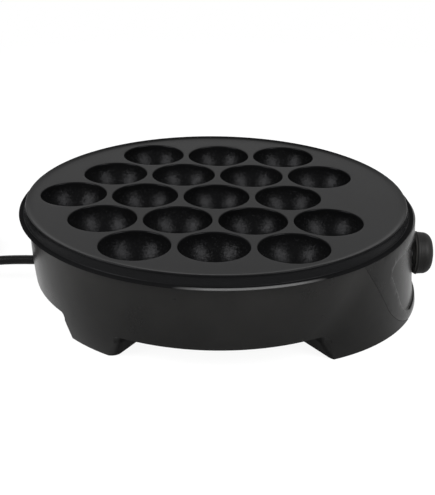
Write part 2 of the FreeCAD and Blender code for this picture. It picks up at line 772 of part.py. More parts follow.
def bored(name, radius, start, end):
    """Round bar on the knob's axis."""
    body = new_body(name)
    sketch = new_sketch(body, "YZ_Plane", start)
    draw_circle(sketch, "0", "knob_height", radius)
    prism(body, "Pad", sketch, "%s-%s" % (end, start))
    return body


def control_panel():
    layer = boolean("Cut", "panel_layer", whole_form("panel_face", "0"), whole_form("panel_back", "panel_wall"))
    blank = boolean("Common", "panel_blank", layer, along_knob("panel_prism", panel_outline("panel_gap")))
    skin = boolean("Cut", "dial_layer", whole_form("dial_face", "0"), whole_form("dial_back", "dial_depth"))
    sunk = boolean("Common", "dial_sunk", skin, along_knob("dial_prism", dial_outline()))
    dished = boolean("Cut", "panel_dished", blank, sunk)
    hole = bored("panel_hole", "(shaft_radius+bore_gap)", "bushing_end", "knob_end")
    keep(boolean("Cut", "control_panel", dished, hole), "control_panel")


def body_shell():
    levels = [(FLOOR_TOP, "low"), ("mid_height", "mid"), (BODY_TOP + "+cut_over", "top")]
    inside = body_form("body_inside", "body_wall", "pod_wall", levels)
    shell = boolean("Cut", "shell_hollow", whole_form("body_outside", "0"), inside)
    arches = [arch("arch_front", 270, "left", "right"), arch("arch_back", 90, "right", "left"),
              arch("arch_cord", 180, "rear", "rear")]
    for tool in arches:
        shell = boolean("Cut", "shell_" + tool.Name, shell, tool)
    under = new_body("body_under")
    rod(under, "Pad", "0", "0", "-cut_over", "floor_height", "leg_inner")
    shell = boolean("Cut", "shell_under", shell, under)
    hollows = new_body("leg_hollows")
    floor = "leg_bottom+leg_floor"
    for sign in ("", "-"):
        sector(hollows, "Pad", "leg_hollow_in", "leg_hollow_out", "(%sleg_azimuth)" % sign, "leg_half_angle",
               floor, FLOOR_TOP + "+cut_over")
    sketch = new_sketch(hollows, "XY_Plane", floor)
    x, y = polar("pod_hollow_out", "pod_half_angle")
    reach = [("pod_centre+" + x, sign + y) for sign in ("-", "")]
    draw(sketch, [reach[0] + ("pod_hollow_out",), reach[1],
                  polar("leg_hollow_in", "skirt_half_angle") + ("-leg_hollow_in",),
                  polar("leg_hollow_in", "(-skirt_half_angle)")])
    prism(hollows, "Pad", sketch, FLOOR_TOP + "+cut_over-" + "(%s)" % floor)
    rod(hollows, "Pad", "0", "0", "floor_height-cut_over", FLOOR_TOP + "+cut_over", "opening_radius")
    shell = boolean("Cut", "shell_legs", shell, hollows)
    pillars = new_body("body_pillars")
    for index, (x, y) in enumerate(PILLAR_SPOTS):
        low = "leg_bottom" if index in (0, 3) else "floor_height"
        rod(pillars, "Pad", x, y, low, "pillar_top", "pillar_radius")
    for x, y in COVER_SPOTS:
        rod(pillars, "Pad", x, y, "floor_height", "cover_boss_top", "cover_boss")
    for side in ("", "-"):
        rod(pillars, "Pad", "-cord_clamp_x", side + "cord_clamp_screw", "floor_height", GROMMET_TOP, "cord_boss")
    band = body_form("bead_outside", "-bead_rise", "0", [(BODY_TOP + "-bead_height", "top"), (BODY_TOP, "top")])
    bead = boolean("Cut", "bead", band, inside)
    shell = fused("shell_posts", [shell, pillars, bead])
    holes = new_body("body_holes")
    for x, y in PILLAR_SPOTS:
        rod(holes, "Pad", x, y, "leg_bottom-cut_over", "well_top", "well_radius")
        rod(holes, "Pad", x, y, "well_top-cut_over", "pillar_top+cut_over", LOOSE_HOLE)
    for x, y in COVER_SPOTS:
        rod(holes, "Pad", x, y, "floor_height-cut_over", "floor_height+cover_screw_depth+hole_end", HOLE)
    for side in ("", "-"):
        rod(holes, "Pad", "-cord_clamp_x", side + "cord_clamp_screw", GROMMET_TOP + "-cord_screw_depth-hole_end",
            GROMMET_TOP + "+cut_over", HOLE)
    for x, y in PAD_SPOTS:
        rod(holes, "Pad", x, y, "leg_bottom-cut_over", "leg_bottom+pad_sink", "pad_radius")
    notch = "(grommet_half_width+grommet_fit)"
    block(holes, "Pad", "-grommet_out-cut_over", "-grommet_neck+grommet_fit", "-" + notch, notch,
          "floor_height-cut_over", "grommet_top+grommet_fit")
    shell = boolean("Cut", "shell_holes", shell, holes)
    bore = bored("body_bore", "(shaft_radius+bore_gap)", "bushing_end", "knob_end")
    shell = boolean("Cut", "shell_bore", shell, bore)
    back = whole_form("seat_back", "(panel_wall+panel_gap)")
    layer = boolean("Cut", "seat_layer", whole_form("seat_face", "-cut_over"), back)
    seat = boolean("Common", "seat_cut", layer, along_knob("seat_prism", panel_outline("0")))
    keep(boolean("Cut", "body_shell", shell, seat), "body_shell")


def base_cover():
    body = new_body("base_cover")
    low = "floor_height-cover_wall"
    rod(body, "Pad", "0", "0", low, "floor_height", "leg_inner-cover_fit")
    slots = new_sketch(body, "XY_Plane", "floor_height")
    half, end = "vent_half_width", "(vent_half_width+vent_ease)"
    draw(slots, [("vent_inner", "-" + half), ("vent_outer", "-" + half, end),
                 ("vent_outer", half), ("vent_inner", half, end)])
    around(body, [prism(body, "Pocket", slots, "cover_wall+cut_over")], VENT_COUNT)
    for x, y in COVER_SPOTS:
        rod(body, "Pocket", x, y, low + "-cut_over", "floor_height", LOOSE_HOLE)
    keep(body, "base_cover")
    screws("base_screws", COVER_SPOTS, low + "-screw_head_wall", "floor_height+cover_screw_depth")


def foot_pads():
    body = new_body("foot_pads")
    for x, y in PAD_SPOTS:
        rod(body, "Pad", x, y, "0", "leg_bottom+pad_sink", "pad_radius-pad_fit")
    keep(body, "foot_pads")


# --- heating ------------------------------------------------------------------

def heating_element():
    keep(element_path("heating_element", "element_radius"), "heating_element")
    seals, pins = new_body("element_seals"), new_body("element_pins")
    for side in ("", "-"):
        for body, start, length, radius in ((seals, "element_end", "seal_length", "element_radius+seal_wall"),
                                            (pins, "element_end+seal_length", "pin_length", "pin_radius")):
            sketch = new_sketch(body, "YZ_Plane", start)
            draw_circle(sketch, side + "element_leg", RIB_LOW, radius)
            prism(body, "Pad", sketch, length)
    keep(seals, "element_seals")
    keep(pins, "element_pins")


def element_clamps():
    """Straps over the element: a half ring with two flat ears."""
    body = new_body("element_clamps")
    sketch = new_sketch(body, "XZ_Plane")
    reach = "(clamp_reach+clamp_boss)"
    inner, outer = "(element_radius+element_fit)", "(element_radius+element_fit+clamp_wall)"
    ear = RIB_LOW + "-clamp_wall"
    drop = "sqrt(%s^2-clamp_wall^2)" % outer
    draw(sketch, [("element_ring-" + reach, ear), ("element_ring-" + drop, ear, outer),
                  ("element_ring+" + drop, ear), ("element_ring+" + reach, ear),
                  ("element_ring+" + reach, RIB_LOW), ("element_ring+" + inner, RIB_LOW, "-" + inner),
                  ("element_ring", RIB_LOW + "-" + inner, "-" + inner), ("element_ring-" + inner, RIB_LOW),
                  ("element_ring-" + reach, RIB_LOW)])
    strap = prism(body, "Pad", sketch, "clamp_width", midplane=True)
    holes = []
    for side in "-+":
        holes.append(rod(body, "Pocket", "element_ring%sclamp_reach" % side, "0", ear + "-cut_over", RIB_LOW,
                         LOOSE_HOLE))
    around(body, [strap] + holes, 3)
    keep(body, "element_clamps")
    bind(body, "Placement.Rotation.Angle", "clamp_azimuth")
    screws("clamp_screws", CLAMP_SPOTS, RIB_LOW + "-clamp_wall-screw_head_wall", RIB_LOW + "+clamp_screw_depth")


def heat_shield():
    body = new_body("heat_shield")
    sketch = new_sketch(body, "XZ_Plane")
    draw(sketch, [
        ("0", "shield_height-shield_wall"), ("shield_flat", "shield_height-shield_wall"),
        ("shield_rim", "shield_rim_height-shield_wall"), ("shield_rim", "shield_rim_height"),
        ("shield_flat", "shield_height"), ("0", "shield_height")])
    turned(body, "Revolution", sketch)
    block(body, "Pocket", "shield_notch_x", "shield_rim+cut_over", "-shield_notch", "shield_notch",
          "shield_height-shield_wall-cut_over", "shield_rim_height+cut_over")
    for x, y in POST_SPOTS:
        rod(body, "Pocket", x, y, "shield_height-shield_wall-cut_over", "shield_height+cut_over", LOOSE_HOLE)
    keep(body, "heat_shield")
    screws("shield_screws", POST_SPOTS, "shield_height-shield_wall-screw_head_wall",
           "shield_height+post_screw_depth")
    screws("plate_screws", PILLAR_SPOTS, "well_top-screw_head_wall", "pillar_top+pillar_screw_depth")


# --- thermostat, fuse and knob ------------------------------------------------------

def thermostat():
    bracket = new_body("thermostat_bracket")
    top, front = "stat_top", "stat_front"
    width = "bracket_half_width"
    block(bracket, "Pad", "bracket_back", front + "+bracket_wall", "-" + width, width, top + "-bracket_wall", top)
    block(bracket, "Pad", front, front + "+bracket_wall", "-" + width, width, "stat_bottom", top)
    for x, y in BRACKET_SPOTS:
        rod(bracket, "Pocket", x, y, top + "-bracket_wall-cut_over", top, LOOSE_HOLE)
    sketch = new_sketch(bracket, "YZ_Plane", front + "+bracket_wall")
    draw_circle(sketch, "0", "knob_height", "bushing_radius+bushing_fit")
    prism(bracket, "Pocket", sketch, "bracket_wall+cut_over")
    keep(bracket, "thermostat_bracket")
    screws("thermostat_screws", BRACKET_SPOTS, top + "-bracket_wall-screw_head_wall", top + "+stat_screw_depth")
    body = new_body("thermostat_body")
    block(body, "Pad", "stat_back", front, "-stat_half_width", "stat_half_width", "stat_bottom",
          top + "-bracket_wall")
    sketch = new_sketch(body, "YZ_Plane", front)
    draw_circle(sketch, "0", "knob_height", "bushing_radius")
    prism(body, "Pad", sketch, "bushing_end-" + front)
    sketch = new_sketch(body, "YZ_Plane", "bushing_end")
    draw_circle(sketch, "0", "knob_height", "(shaft_radius+shaft_fit)")
    prism(body, "Pocket", sketch, "bushing_end-shaft_start+end_play")
    keep(body, "thermostat_body")
    nut = new_body("thermostat_nut")
    sketch = new_sketch(nut, "YZ_Plane", front + "+bracket_wall")
    corners = [("nut_radius*cos(%d*1deg)" % turn, "knob_height+nut_radius*sin(%d*1deg)" % turn)
               for turn in range(10, 370, 60)]
    draw(sketch, corners)
    prism(nut, "Pad", sketch, "nut_wall")
    sketch = new_sketch(nut, "YZ_Plane", front + "+bracket_wall+nut_wall")
    draw_circle(sketch, "0", "knob_height", "bushing_radius+bushing_fit")
    prism(nut, "Pocket", sketch, "nut_wall+cut_over")
    keep(nut, "thermostat_nut")


def thermal_fuse():
    """Fuse held against the plate by a flat strap on one screw."""
    axis = UNDER + "-fuse_radius"
    low = UNDER + "-2*fuse_radius"
    body = new_body("thermal_fuse")
    sketch = new_sketch(body, "XZ_Plane", "-fuse_half_length-fuse_shift")
    draw_circle(sketch, "fuse_x", axis, "fuse_radius")
    prism(body, "Pad", sketch, "2*fuse_half_length")
    keep(body, "thermal_fuse")
    strap = new_body("fuse_strap")
    block(strap, "Pad", "fuse_x-strap_half_width", "fuse_x+strap_half_width", "-fuse_screw-strap_tab",
          "strap_reach", low + "-strap_wall", low)
    rod(strap, "Pocket", "fuse_x", "-fuse_screw", low + "-strap_wall-cut_over", low, LOOSE_HOLE)
    keep(strap, "fuse_strap")
    screws("fuse_screw", [("fuse_x", "-fuse_screw")], low + "-strap_wall-screw_head_wall",
           UNDER + "+fuse_screw_depth")


def control_knob():
    body = new_body("control_knob")
    sketch = new_sketch(body, "XZ_Plane")
    axis = "knob_height"
    shoulder = "knob_back+knob_collar_wall"
    draw(sketch, [
        ("knob_hub_back", axis), ("knob_end", axis),
        ("knob_end-knob_crown", axis + "+knob_nose-knob_round+knob_crown", "knob_round"),
        ("knob_end-knob_round+knob_crown/4", axis + "+knob_nose"),
        (shoulder + "+knob_groove", axis + "+knob_radius"),
        (shoulder, axis + "+knob_collar"), ("knob_back", axis + "+knob_collar"),
        ("knob_back", axis + "+knob_hub"), ("knob_hub_back", axis + "+knob_hub")])
    draw_axis(sketch, up=axis)
    turned(body, "Revolution", sketch, "Axis0")
    bore = new_sketch(body, "YZ_Plane", "knob_hub_back")
    draw_circle(bore, "0", axis, "(shaft_radius+shaft_fit)")
    prism(body, "Pocket", bore, "shaft_end-knob_hub_back+end_play", reverse=True)
    keep(body, "control_knob")
    shaft = new_body("thermostat_shaft")
    sketch = new_sketch(shaft, "YZ_Plane", "shaft_start")
    draw_circle(sketch, "0", axis, "shaft_radius")
    prism(shaft, "Pad", sketch, "shaft_end-shaft_start")
    block(shaft, "Pocket", "flat_start", "shaft_end+cut_over", "-shaft_radius-cut_over", "shaft_radius+cut_over",
          axis + "+shaft_flat", axis + "+shaft_radius+cut_over")
    keep(shaft, "thermostat_shaft")
    spring = new_body("knob_spring")
    sketch = new_sketch(spring, "YZ_Plane", "flat_start+spring_start")
    half = "spring_width/2"
    draw(sketch, [("-" + half, axis + "+shaft_flat"), (half, axis + "+shaft_flat"),
                  (half, axis + "+shaft_flat+spring_wall"), ("-" + half, axis + "+shaft_flat+spring_wall")])
    prism(spring, "Pad", sketch, "shaft_end-flat_start-spring_start-end_play")
    keep(spring, "knob_spring")


# --- cord ------------------------------------------------------------------

def grommet():
    """Neck in the wall's notch and a wider head behind it, with a clamp over the head."""
    body = new_body("cord_grommet")
    top = GROMMET_TOP
    width, head = "grommet_half_width", "grommet_head"
    block(body, "Pad", "-grommet_out", "-grommet_neck", "-" + width, width, "grommet_low", "grommet_top")
    block(body, "Pad", "-grommet_neck-grommet_lap", "-grommet_in", "-" + head, head, FLOOR_TOP, top)
    keep(body, "cord_grommet")
    clamp = new_body("cord_clamp")
    near, far = "-cord_clamp_x-cord_clamp_half", "-cord_clamp_x+cord_clamp_half"
    reach = "(cord_clamp_screw+cord_boss)"
    block(clamp, "Pad", near, far, "-" + reach, reach, top, top + "+cord_clamp_wall")
    spots = [("-cord_clamp_x", side + "cord_clamp_screw") for side in ("", "-")]
    for x, y in spots:
        rod(clamp, "Pocket", x, y, top + "-cut_over", top + "+cord_clamp_wall", LOOSE_HOLE)
    keep(clamp, "cord_clamp")
    fixings = new_body("cord_clamp_screws")
    for x, y in spots:
        seat = top + "+cord_clamp_wall"
        rod(fixings, "Pad", x, y, seat, seat + "+screw_head_wall", "screw_head")
        rod(fixings, "Pad", x, y, top + "-cord_screw_depth", seat, "screw_radius")
    keep(fixings, "cord_clamp_screws")


def tube(name, points, radius):
    """Straight runs joined by tangent arcs, with a round section."""
    spots = [FreeCAD.Vector(*(number(value) for value in point)) for point in points]
    edges = []
    start = spots[0]
    for before, corner, after in zip(spots, spots[1:], spots[2:]):
        towards, away = (before - corner), (after - corner)
        run = BEND_SHARE * min(towards.Length, away.Length)
        towards.normalize()
        away.normalize()
        turn = math.pi - towards.getAngle(away)
        bend = run / math.tan(turn / 2)
        middle = (towards + away).normalize()
        centre = corner + middle * (bend / math.cos(turn / 2))
        first, last = corner + towards * run, corner + away * run
        edges.append(Part.LineSegment(start, first).toShape())
        edges.append(Part.Arc(first, centre - middle * bend, last).toShape())
        start = last
    edges.append(Part.LineSegment(start, spots[-1]).toShape())
    wire = Part.Wire(edges)
    circle = Part.makeCircle(number(radius), spots[0], spots[1] - spots[0])
    feature = DOC.addObject("Part::Feature", name)
    feature.Shape = wire.makePipeShell([Part.Wire(circle)], True, True)
    keep(feature, name)


def cord():
    tube("power_cord", CORD_POINTS, "cord_radius")
    coil = new_body("cord_coil")
    sketch = new_sketch(coil, "XZ_Plane", "-coil_outer")
    inner, outer = "(coil_x-coil_inner+cord_radius)", "(coil_x-coil_outer-cord_radius)"
    top = "(2*coil_layers*cord_radius)"
    edge = "coil_round"
    draw(sketch, [
        ("-%s+%s" % (inner, edge), "0"), ("-%s-%s" % (outer, edge), "0", edge), ("-" + outer, edge),
        ("-" + outer, "%s-%s" % (top, edge), edge), ("-%s-%s" % (outer, edge), top),
        ("-%s+%s" % (inner, edge), top, edge), ("-" + inner, "%s-%s" % (top, edge)), ("-" + inner, edge, edge)])
    draw_axis(sketch, across="-coil_x")
    turned(coil, "Revolution", sketch, "Axis0")
    keep(coil, "cord_coil")
    tube("cord_tail", TAIL_POINTS, "cord_radius")


def plug():
    body = new_body("plug_body")
    axis = "plug_height/2"
    start = "(plug_back+relief_length)"
    sketch = new_sketch(body, "XZ_Plane")
    draw(sketch, [("-plug_back", axis), ("-plug_back", axis + "+relief_small"),
                  ("-" + start, axis + "+relief_radius"),
                  ("-%s-relief_lap" % start, axis + "+relief_radius"), ("-%s-relief_lap" % start, axis)])
    draw_axis(sketch, up=axis)
    turned(body, "Revolution", sketch, "Axis0")
    sketch = new_sketch(body, "YZ_Plane", "-%s-plug_length" % start)
    width, edge, top = "plug_half_width", "plug_round", "plug_height"
    draw(sketch, [("-%s+%s" % (width, edge), "0"), ("%s-%s" % (width, edge), "0", edge), (width, edge),
                  (width, "%s-%s" % (top, edge), edge), ("%s-%s" % (width, edge), top),
                  ("-%s+%s" % (width, edge), top, edge), ("-" + width, "%s-%s" % (top, edge)),
                  ("-" + width, edge, edge)])
    prism(body, "Pad", sketch, "plug_length")
    keep(body, "plug_body")
    blades = new_body("plug_blades")
    for side in ("-", "1*"):
        centre = "%sblade_spacing/2" % side
        block(blades, "Pad", "-%s-plug_length-blade_length" % start, "-%s-plug_length" % start,
              centre + "-blade_wall/2", centre + "+blade_wall/2",
              axis + "-blade_height/2", axis + "+blade_height/2")
    keep(blades, "plug_blades")


# --- build and write ------------------------------------------------------------------

def check():
    """Every object recomputed without an error, and every sub-part a valid solid."""
    faults = [thing.Name for thing in DOC.Objects if {"Invalid", "Error"} & set(thing.State)]
    faults += [thing.Label for thing in PARTS if thing.Shape.isNull() or not thing.Shape.isValid()]
    if faults:
        raise RuntimeError("faults in " + ", ".join(faults))


fill_sheet()
takoyaki_plate()
body_shell()
control_panel()
base_cover()
foot_pads()
heating_element()
element_clamps()
heat_shield()
thermostat()
thermal_fuse()
control_knob()
grommet()
for lead, route in LEADS.items():
    tube(lead, route, "lead_radius")
cord()
plug()
DOC.recompute()
check()
os.makedirs("parts", exist_ok=True)
for thing in PARTS:
    thing.Shape.exportStep("parts/%s.step" % thing.Label)
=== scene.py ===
import json
import math

import bmesh
import bpy
import numpy as np
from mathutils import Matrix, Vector


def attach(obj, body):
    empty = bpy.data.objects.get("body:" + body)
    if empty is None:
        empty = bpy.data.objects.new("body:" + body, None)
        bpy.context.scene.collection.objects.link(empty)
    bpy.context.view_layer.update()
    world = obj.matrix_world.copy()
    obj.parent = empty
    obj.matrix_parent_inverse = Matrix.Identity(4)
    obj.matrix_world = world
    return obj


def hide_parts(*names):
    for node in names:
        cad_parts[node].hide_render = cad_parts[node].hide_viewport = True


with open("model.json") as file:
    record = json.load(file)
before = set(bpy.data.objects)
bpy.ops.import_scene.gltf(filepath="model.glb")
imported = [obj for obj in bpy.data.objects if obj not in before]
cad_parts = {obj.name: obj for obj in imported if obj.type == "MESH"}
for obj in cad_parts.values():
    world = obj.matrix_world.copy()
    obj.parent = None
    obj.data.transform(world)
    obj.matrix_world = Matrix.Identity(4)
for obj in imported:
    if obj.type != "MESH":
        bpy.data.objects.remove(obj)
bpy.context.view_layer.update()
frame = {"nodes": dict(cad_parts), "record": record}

# ---------------------------------------------------------------------------
# Takoyaki maker. Metres throughout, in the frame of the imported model: the table
# is z = 0, the knob points along +x and the cord leaves along -x. The cooking
# plate's own axis stands at x = AXIS_X.
# ---------------------------------------------------------------------------

MM = 0.001
MERGE = 0.002 * MM                  # points nearer than this are one
AXIS_X = -7.85 * MM

# camera and light
CAMERA_PLACE = (-0.00056, -0.59962, 0.29353)
CAMERA_TURN = (65.985, -0.7015, 0.9115)     # degrees about x, y and z
CAMERA_LENS = 76.72                 # for a sensor 36 wide
LAMPS = {                           # place, size, power
    "left_softbox": ((-0.95, -0.55, 0.69), (0.65, 0.75), 32.0),
    "right_softbox": ((0.81, -0.64, 0.80), (0.65, 0.95), 34.0),
    "back_softbox": ((0.05, 0.95, 0.75), (1.2, 0.5), 1.9),
}
SURROUND_LIGHT = 0.32
FLOOR_HALF = 3.0                    # half its width
FLOOR_GREY = 0.96
FLOOR_GLOW = 0.92                   # share of plain white in it near the object
FLOOR_FADE = (0.35, 0.7)            # distances over which that share grows to all of it

# tints: of the plate's coating, of the plastics, and none
COOL = (0.97, 0.98, 1.03)
WARM = (1.03, 1.0, 0.95)
NEUTRAL = (1.0, 1.0, 1.0)

# cooking plate
FACE = 60.5 * MM                    # height of the cooking face
CUP_RADIUS = 20.0 * MM
CUP_WALL = 2.6 * MM
CUP_PITCH = 43.5 * MM
CUP_EDGE = 0.7 * MM                 # rounding of a cup's mouth
PLATE_WALL = 3.2 * MM
CELL_COLUMNS = 72
BOWL_ROWS = 18

# the plate's rim: radii about the axis, and drops below the face
SEAM_RADIUS = 109.5 * MM            # the flat face ends here and turns up to the lip
LIP_RADIUS = 113.9 * MM             # the lip's round crest starts here
LIP_RISE = 1.2 * MM
CREST = 0.5 * MM
WALL_RADIUS = 116.0 * MM            # the outer wall meets the flange here
WALL_FILLET = 0.5 * MM
FLANGE_RADIUS = 118.9 * MM
FLANGE_TOP = 4.4 * MM
FLANGE_MIDDLE = 5.0 * MM
FLANGE_ROUND = 0.55 * MM
FLANGE_UNDER = 5.6 * MM
SKIRT_RADIUS = 112.4 * MM           # the rim's inner side

# where the coating changes, and where a highlight is painted on the flange
SPARKLE_DEPTHS = (1.2 * MM, 3.5 * MM)       # below the face, the sparkle sets in between these
PAINTED_HIGHLIGHT_SIDE = (0.174, -0.985, 0)            # way that the flange's painted highlight faces
PAINTED_HIGHLIGHT_FADE = (111.5 * MM, 116.5 * MM)      # distances that way over which the painted highlight sets in

# painted shading on the body: from the first height to the second it goes from darker to paler, by
# these factors
BODY_SHADING_HEIGHTS = (12 * MM, 54 * MM)
BODY_SHADING_FACTORS = (0.5, 1.8)

# knob
KNOB_AXIS = 25.3 * MM               # height of the axis
KNOB_BACK = 115.65 * MM             # place of its back along x
KNOB_LENGTH = 11.1 * MM             # from there to the tip
# radii: the collar at the back, the side where it starts and ends, and the corner between
# the side and the crowned nose
KNOB_COLLAR = 13.4 * MM
KNOB_SIDE = 13.1 * MM
KNOB_NOSE = 12.8 * MM
KNOB_CORNER = 6.8 * MM
KNOB_CROWN = 0.8 * MM               # how far the nose falls off from the tip
KNOB_GROOVE = 0.05 * MM             # depth of the rings in the side
KNOB_HUB = 7.5 * MM                 # radius of the hub round the shaft
KNOB_BORE = 3.15 * MM               # radius and depth of the hole for the shaft
KNOB_BORE_DEPTH = 8.0 * MM
KNOB_COLUMNS = 144

# edges of the moulded pieces
EDGE_RADII = {
    "control_panel": 0.45 * MM,
    "cord_grommet": 0.6 * MM,
    "plug_body": 0.6 * MM,
    "base_cover": 0.3 * MM,
}
EDGE_WELD = 0.01 * MM
EDGE_FLAT = 0.3                     # degrees between faces that count as one
EDGE_SHARP = 35.0                   # degrees between faces that meet in an edge
EDGE_SEGMENTS = 3

# cord: (x from the plate's axis, y, z) in mm on either side of the coil
CORD_RADIUS = 2.9 * MM
CORD_LEAD = [(-112.8, 0, 15.8), (-134.8, 0.3, 15.6), (-152.8, 0.2, 11.6), (-171, -0.4, 9.2)]
CORD_TAIL = [(-211, -1, 3.0), (-226, -1, 5.1), (-241, 0, 7.5), (-250, 0, 7.5)]
COIL_CENTRE = (AXIS_X - 190.0 * MM, 38.1 * MM)
COIL_OUTER = 38.1 * MM
COIL_TURNS = 3                      # turns in each of the two layers
COIL_DROP = 0.24                    # share of a turn that steps from one layer to the other
POINTS_A_TURN = 20
TIE_WIDE = 6.0 * MM
TIE_THICK = 0.8 * MM
TIE_ROWS = 96
TIE_COLUMNS = 24

# plain finishes: darkest and lightest grey, tint, least and most roughness, scale and
# height of the grain, and for some the specular level and the mottling's scale
MOULDED = {
    "panel_plastic": (0.0020, 0.003, WARM, 0.24, 0.32, 2300.0, 0.015 * MM, 0.14),
    "knob_plastic": (0.0034, 0.0052, WARM, 0.50, 0.62, 1900.0, 0.03 * MM, 0.10),
    "cover_plastic": (0.012, 0.018, WARM, 0.40, 0.55, 1500.0, 0.04 * MM, 0.4),
    "pad_rubber": (0.020, 0.035, NEUTRAL, 0.65, 0.85, 1300.0, 0.06 * MM, 0.4),
    "seal_silicone": (0.42, 0.55, (1.0, 0.97, 0.92), 0.45, 0.6, 900.0, 0.02 * MM),
    "ceramic": (0.62, 0.74, (1.0, 0.98, 0.93), 0.35, 0.55, 1200.0, 0.03 * MM),
    "cord_rubber": (0.0008, 0.0016, NEUTRAL, 0.20, 0.28, 1600.0, 0.008 * MM, 0.11, 60.0),
    "lead_sleeve": (0.45, 0.62, (1.0, 0.95, 0.86), 0.5, 0.7, 2200.0, 0.05 * MM),
}

# metals: darkest and lightest grey, tint, and how closely the lines lie along x, y and z
DRAWN = {
    "screw_steel": (0.35, 0.62, (1.0, 0.98, 0.95), (400, 400, 60)),
    "element_sheath": (0.16, 0.34, (1.0, 0.92, 0.84), (300, 300, 900)),
    "pin_steel": (0.45, 0.70, NEUTRAL, (60, 700, 700)),
    "sheet_steel": (0.40, 0.62, NEUTRAL, (900, 70, 900)),
    "shield_aluminium": (0.62, 0.82, (0.98, 0.99, 1.0), (60, 900, 900)),
    "brass_nut": (0.55, 0.75, (1.0, 0.80, 0.45), (60, 800, 800)),
    "shaft_steel": (0.42, 0.66, NEUTRAL, (900, 90, 90)),
    "spring_steel": (0.30, 0.52, (0.96, 0.98, 1.0), (60, 900, 900)),
    "blade_brass": (0.60, 0.80, (1.0, 0.86, 0.58), (80, 900, 900)),
}


# --- shader nodes ------------------------------------------------------------

def node(tree, kind, settings=(), **links):
    """Add a node, set its properties, and feed its sockets, which are named or numbered as in
    _0, with values or with other sockets."""
    made = tree.nodes.new("ShaderNode" + kind)
    for name, value in dict(settings).items():
        setattr(made, name, value)
    for name, value in links.items():
        key = int(name[1:]) if name[1:].isdigit() else name.replace("_", " ")
        feed(tree, made.inputs[key], value)
    return made


def feed(tree, socket, value):
    """Link a socket to another one, or set it to a value."""
    if isinstance(value, bpy.types.NodeSocket):
        tree.links.new(value, socket)
    else:
        socket.default_value = value


def numbered(values):
    """Values for a node's first sockets, by number."""
    return {"_%d" % index: value for index, value in enumerate(values)}


def maths(tree, operation, *values):
    """Result of a Math node."""
    return node(tree, "Math", {"operation": operation}, **numbered(values)).outputs[0]


def vectors(tree, operation, *values, **named):
    """Result of a Vector Math node: a number for a length or a dot product, or else a vector."""
    made = node(tree, "VectorMath", {"operation": operation}, **numbered(values), **named)
    return made.outputs["Value" if operation in ("LENGTH", "DOT_PRODUCT") else "Vector"]


def ramp(tree, value, low=0.0, high=1.0, first=0.0, last=1.0):
    """Goes from first to last while the value goes from low to high, and stays there."""
    return node(tree, "MapRange", _0=value, _1=low, _2=high, _3=first, _4=last).outputs[0]


def blend(tree, share, first, second):
    """Mix of two colours."""
    return node(tree, "Mix", {"data_type": "RGBA"}, _0=share, _6=first, _7=second).outputs[2]


def on_object(tree):
    """Place on the object."""
    return node(tree, "TexCoord").outputs["Object"]


def along(tree, place, axis):
    """One coordinate of a place: 0 for x, 1 for y, 2 for z."""
    return node(tree, "SeparateXYZ", _0=place).outputs[axis]


def from_axis(tree, place):
    """Way to a place from the plate's axis, level with the table."""
    return vectors(tree, "MULTIPLY_ADD", place, (1, 1, 0), (-AXIS_X, 0, 0))


def surface_normal(tree):
    """The way that the surface faces."""
    return node(tree, "NewGeometry").outputs["Normal"]


# --- stage -------------------------------------------------------------------

def camera():
    """Long lens from in front and above, with a slight roll."""
    data = bpy.data.cameras.new("camera")
    data.sensor_width = 36.0
    data.lens = CAMERA_LENS
    data.clip_start = 0.01
    view = bpy.data.objects.new("camera", data)
    view.location = CAMERA_PLACE
    view.rotation_euler = [math.radians(angle) for angle in CAMERA_TURN]
    bpy.context.collection.objects.link(view)
    bpy.context.scene.camera = view


def area_lamp(name, place, size, power):
    """Softbox that faces the object."""
    data = bpy.data.lights.new(name, "AREA")
    data.shape = "RECTANGLE"
    data.size, data.size_y = size
    data.energy = power
    lamp = bpy.data.objects.new(name, data)
    lamp.location = place
    aim = Vector((0, 0, FACE)) - Vector(place)
    lamp.rotation_euler = aim.to_track_quat("-Z", "Y").to_euler()
    bpy.context.collection.objects.link(lamp)


def seen_directly(tree, camera_share):
    """1 for rays that show the background as it is, off gloss and through glass, and a share of 1
    for those from the camera."""
    path = node(tree, "LightPath").outputs
    share = maths(tree, "MULTIPLY", path["Is Camera Ray"], camera_share)
    gloss = maths(tree, "MAXIMUM", share, path["Is Glossy Ray"])
    return maths(tree, "MAXIMUM", gloss, path["Is Transmission Ray"])


def mixed(tree, factor, first, second):
    """Two shaders blended by a factor."""
    return node(tree, "MixShader", _0=factor, _1=first.outputs[0], _2=second.outputs[0])


def surround():
    """White wherever it is looked at or reflected, and softer as a light."""
    world = bpy.data.worlds.new("surround")
    world.use_nodes = True
    bpy.context.scene.world = world
    tree = world.node_tree
    soft = tree.nodes["Background"]
    soft.inputs["Color"].default_value = (1, 1, 1, 1)
    soft.inputs["Strength"].default_value = SURROUND_LIGHT
    white = node(tree, "Background", Color=(1, 1, 1, 1))
    both = mixed(tree, seen_directly(tree, 1.0), soft, white)
    tree.links.new(both.outputs[0], tree.nodes["World Output"].inputs["Surface"])


def floor():
    """Pale table top. Most of what is seen of it is plain white, so that it stays white but keeps
    the object's shadow, and far off it is all white. It isn't there from below."""
    corners = [(x * FLOOR_HALF, y * FLOOR_HALF, 0) for x, y in ((-1, -1), (1, -1), (1, 1), (-1, 1))]
    mesh = bpy.data.meshes.new("floor")
    mesh.from_pydata(corners, [], [(0, 1, 2, 3)])
    table = bpy.data.objects.new("floor", mesh)
    bpy.context.collection.objects.link(table)
    material, tree, shader = new_material("floor", 0.0, Roughness=0.95,
                                          Base_Color=grey(FLOOR_GREY))
    away = vectors(tree, "LENGTH", on_object(tree))
    glow = ramp(tree, away, *FLOOR_FADE, FLOOR_GLOW, 1.0)
    lit = mixed(tree, seen_directly(tree, glow), shader, node(tree, "Emission"))
    below = node(tree, "NewGeometry").outputs["Backfacing"]
    shown = mixed(tree, below, lit, node(tree, "BsdfTransparent"))
    tree.links.new(shown.outputs[0], tree.nodes["Material Output"].inputs["Surface"])
    mesh.materials.append(material)


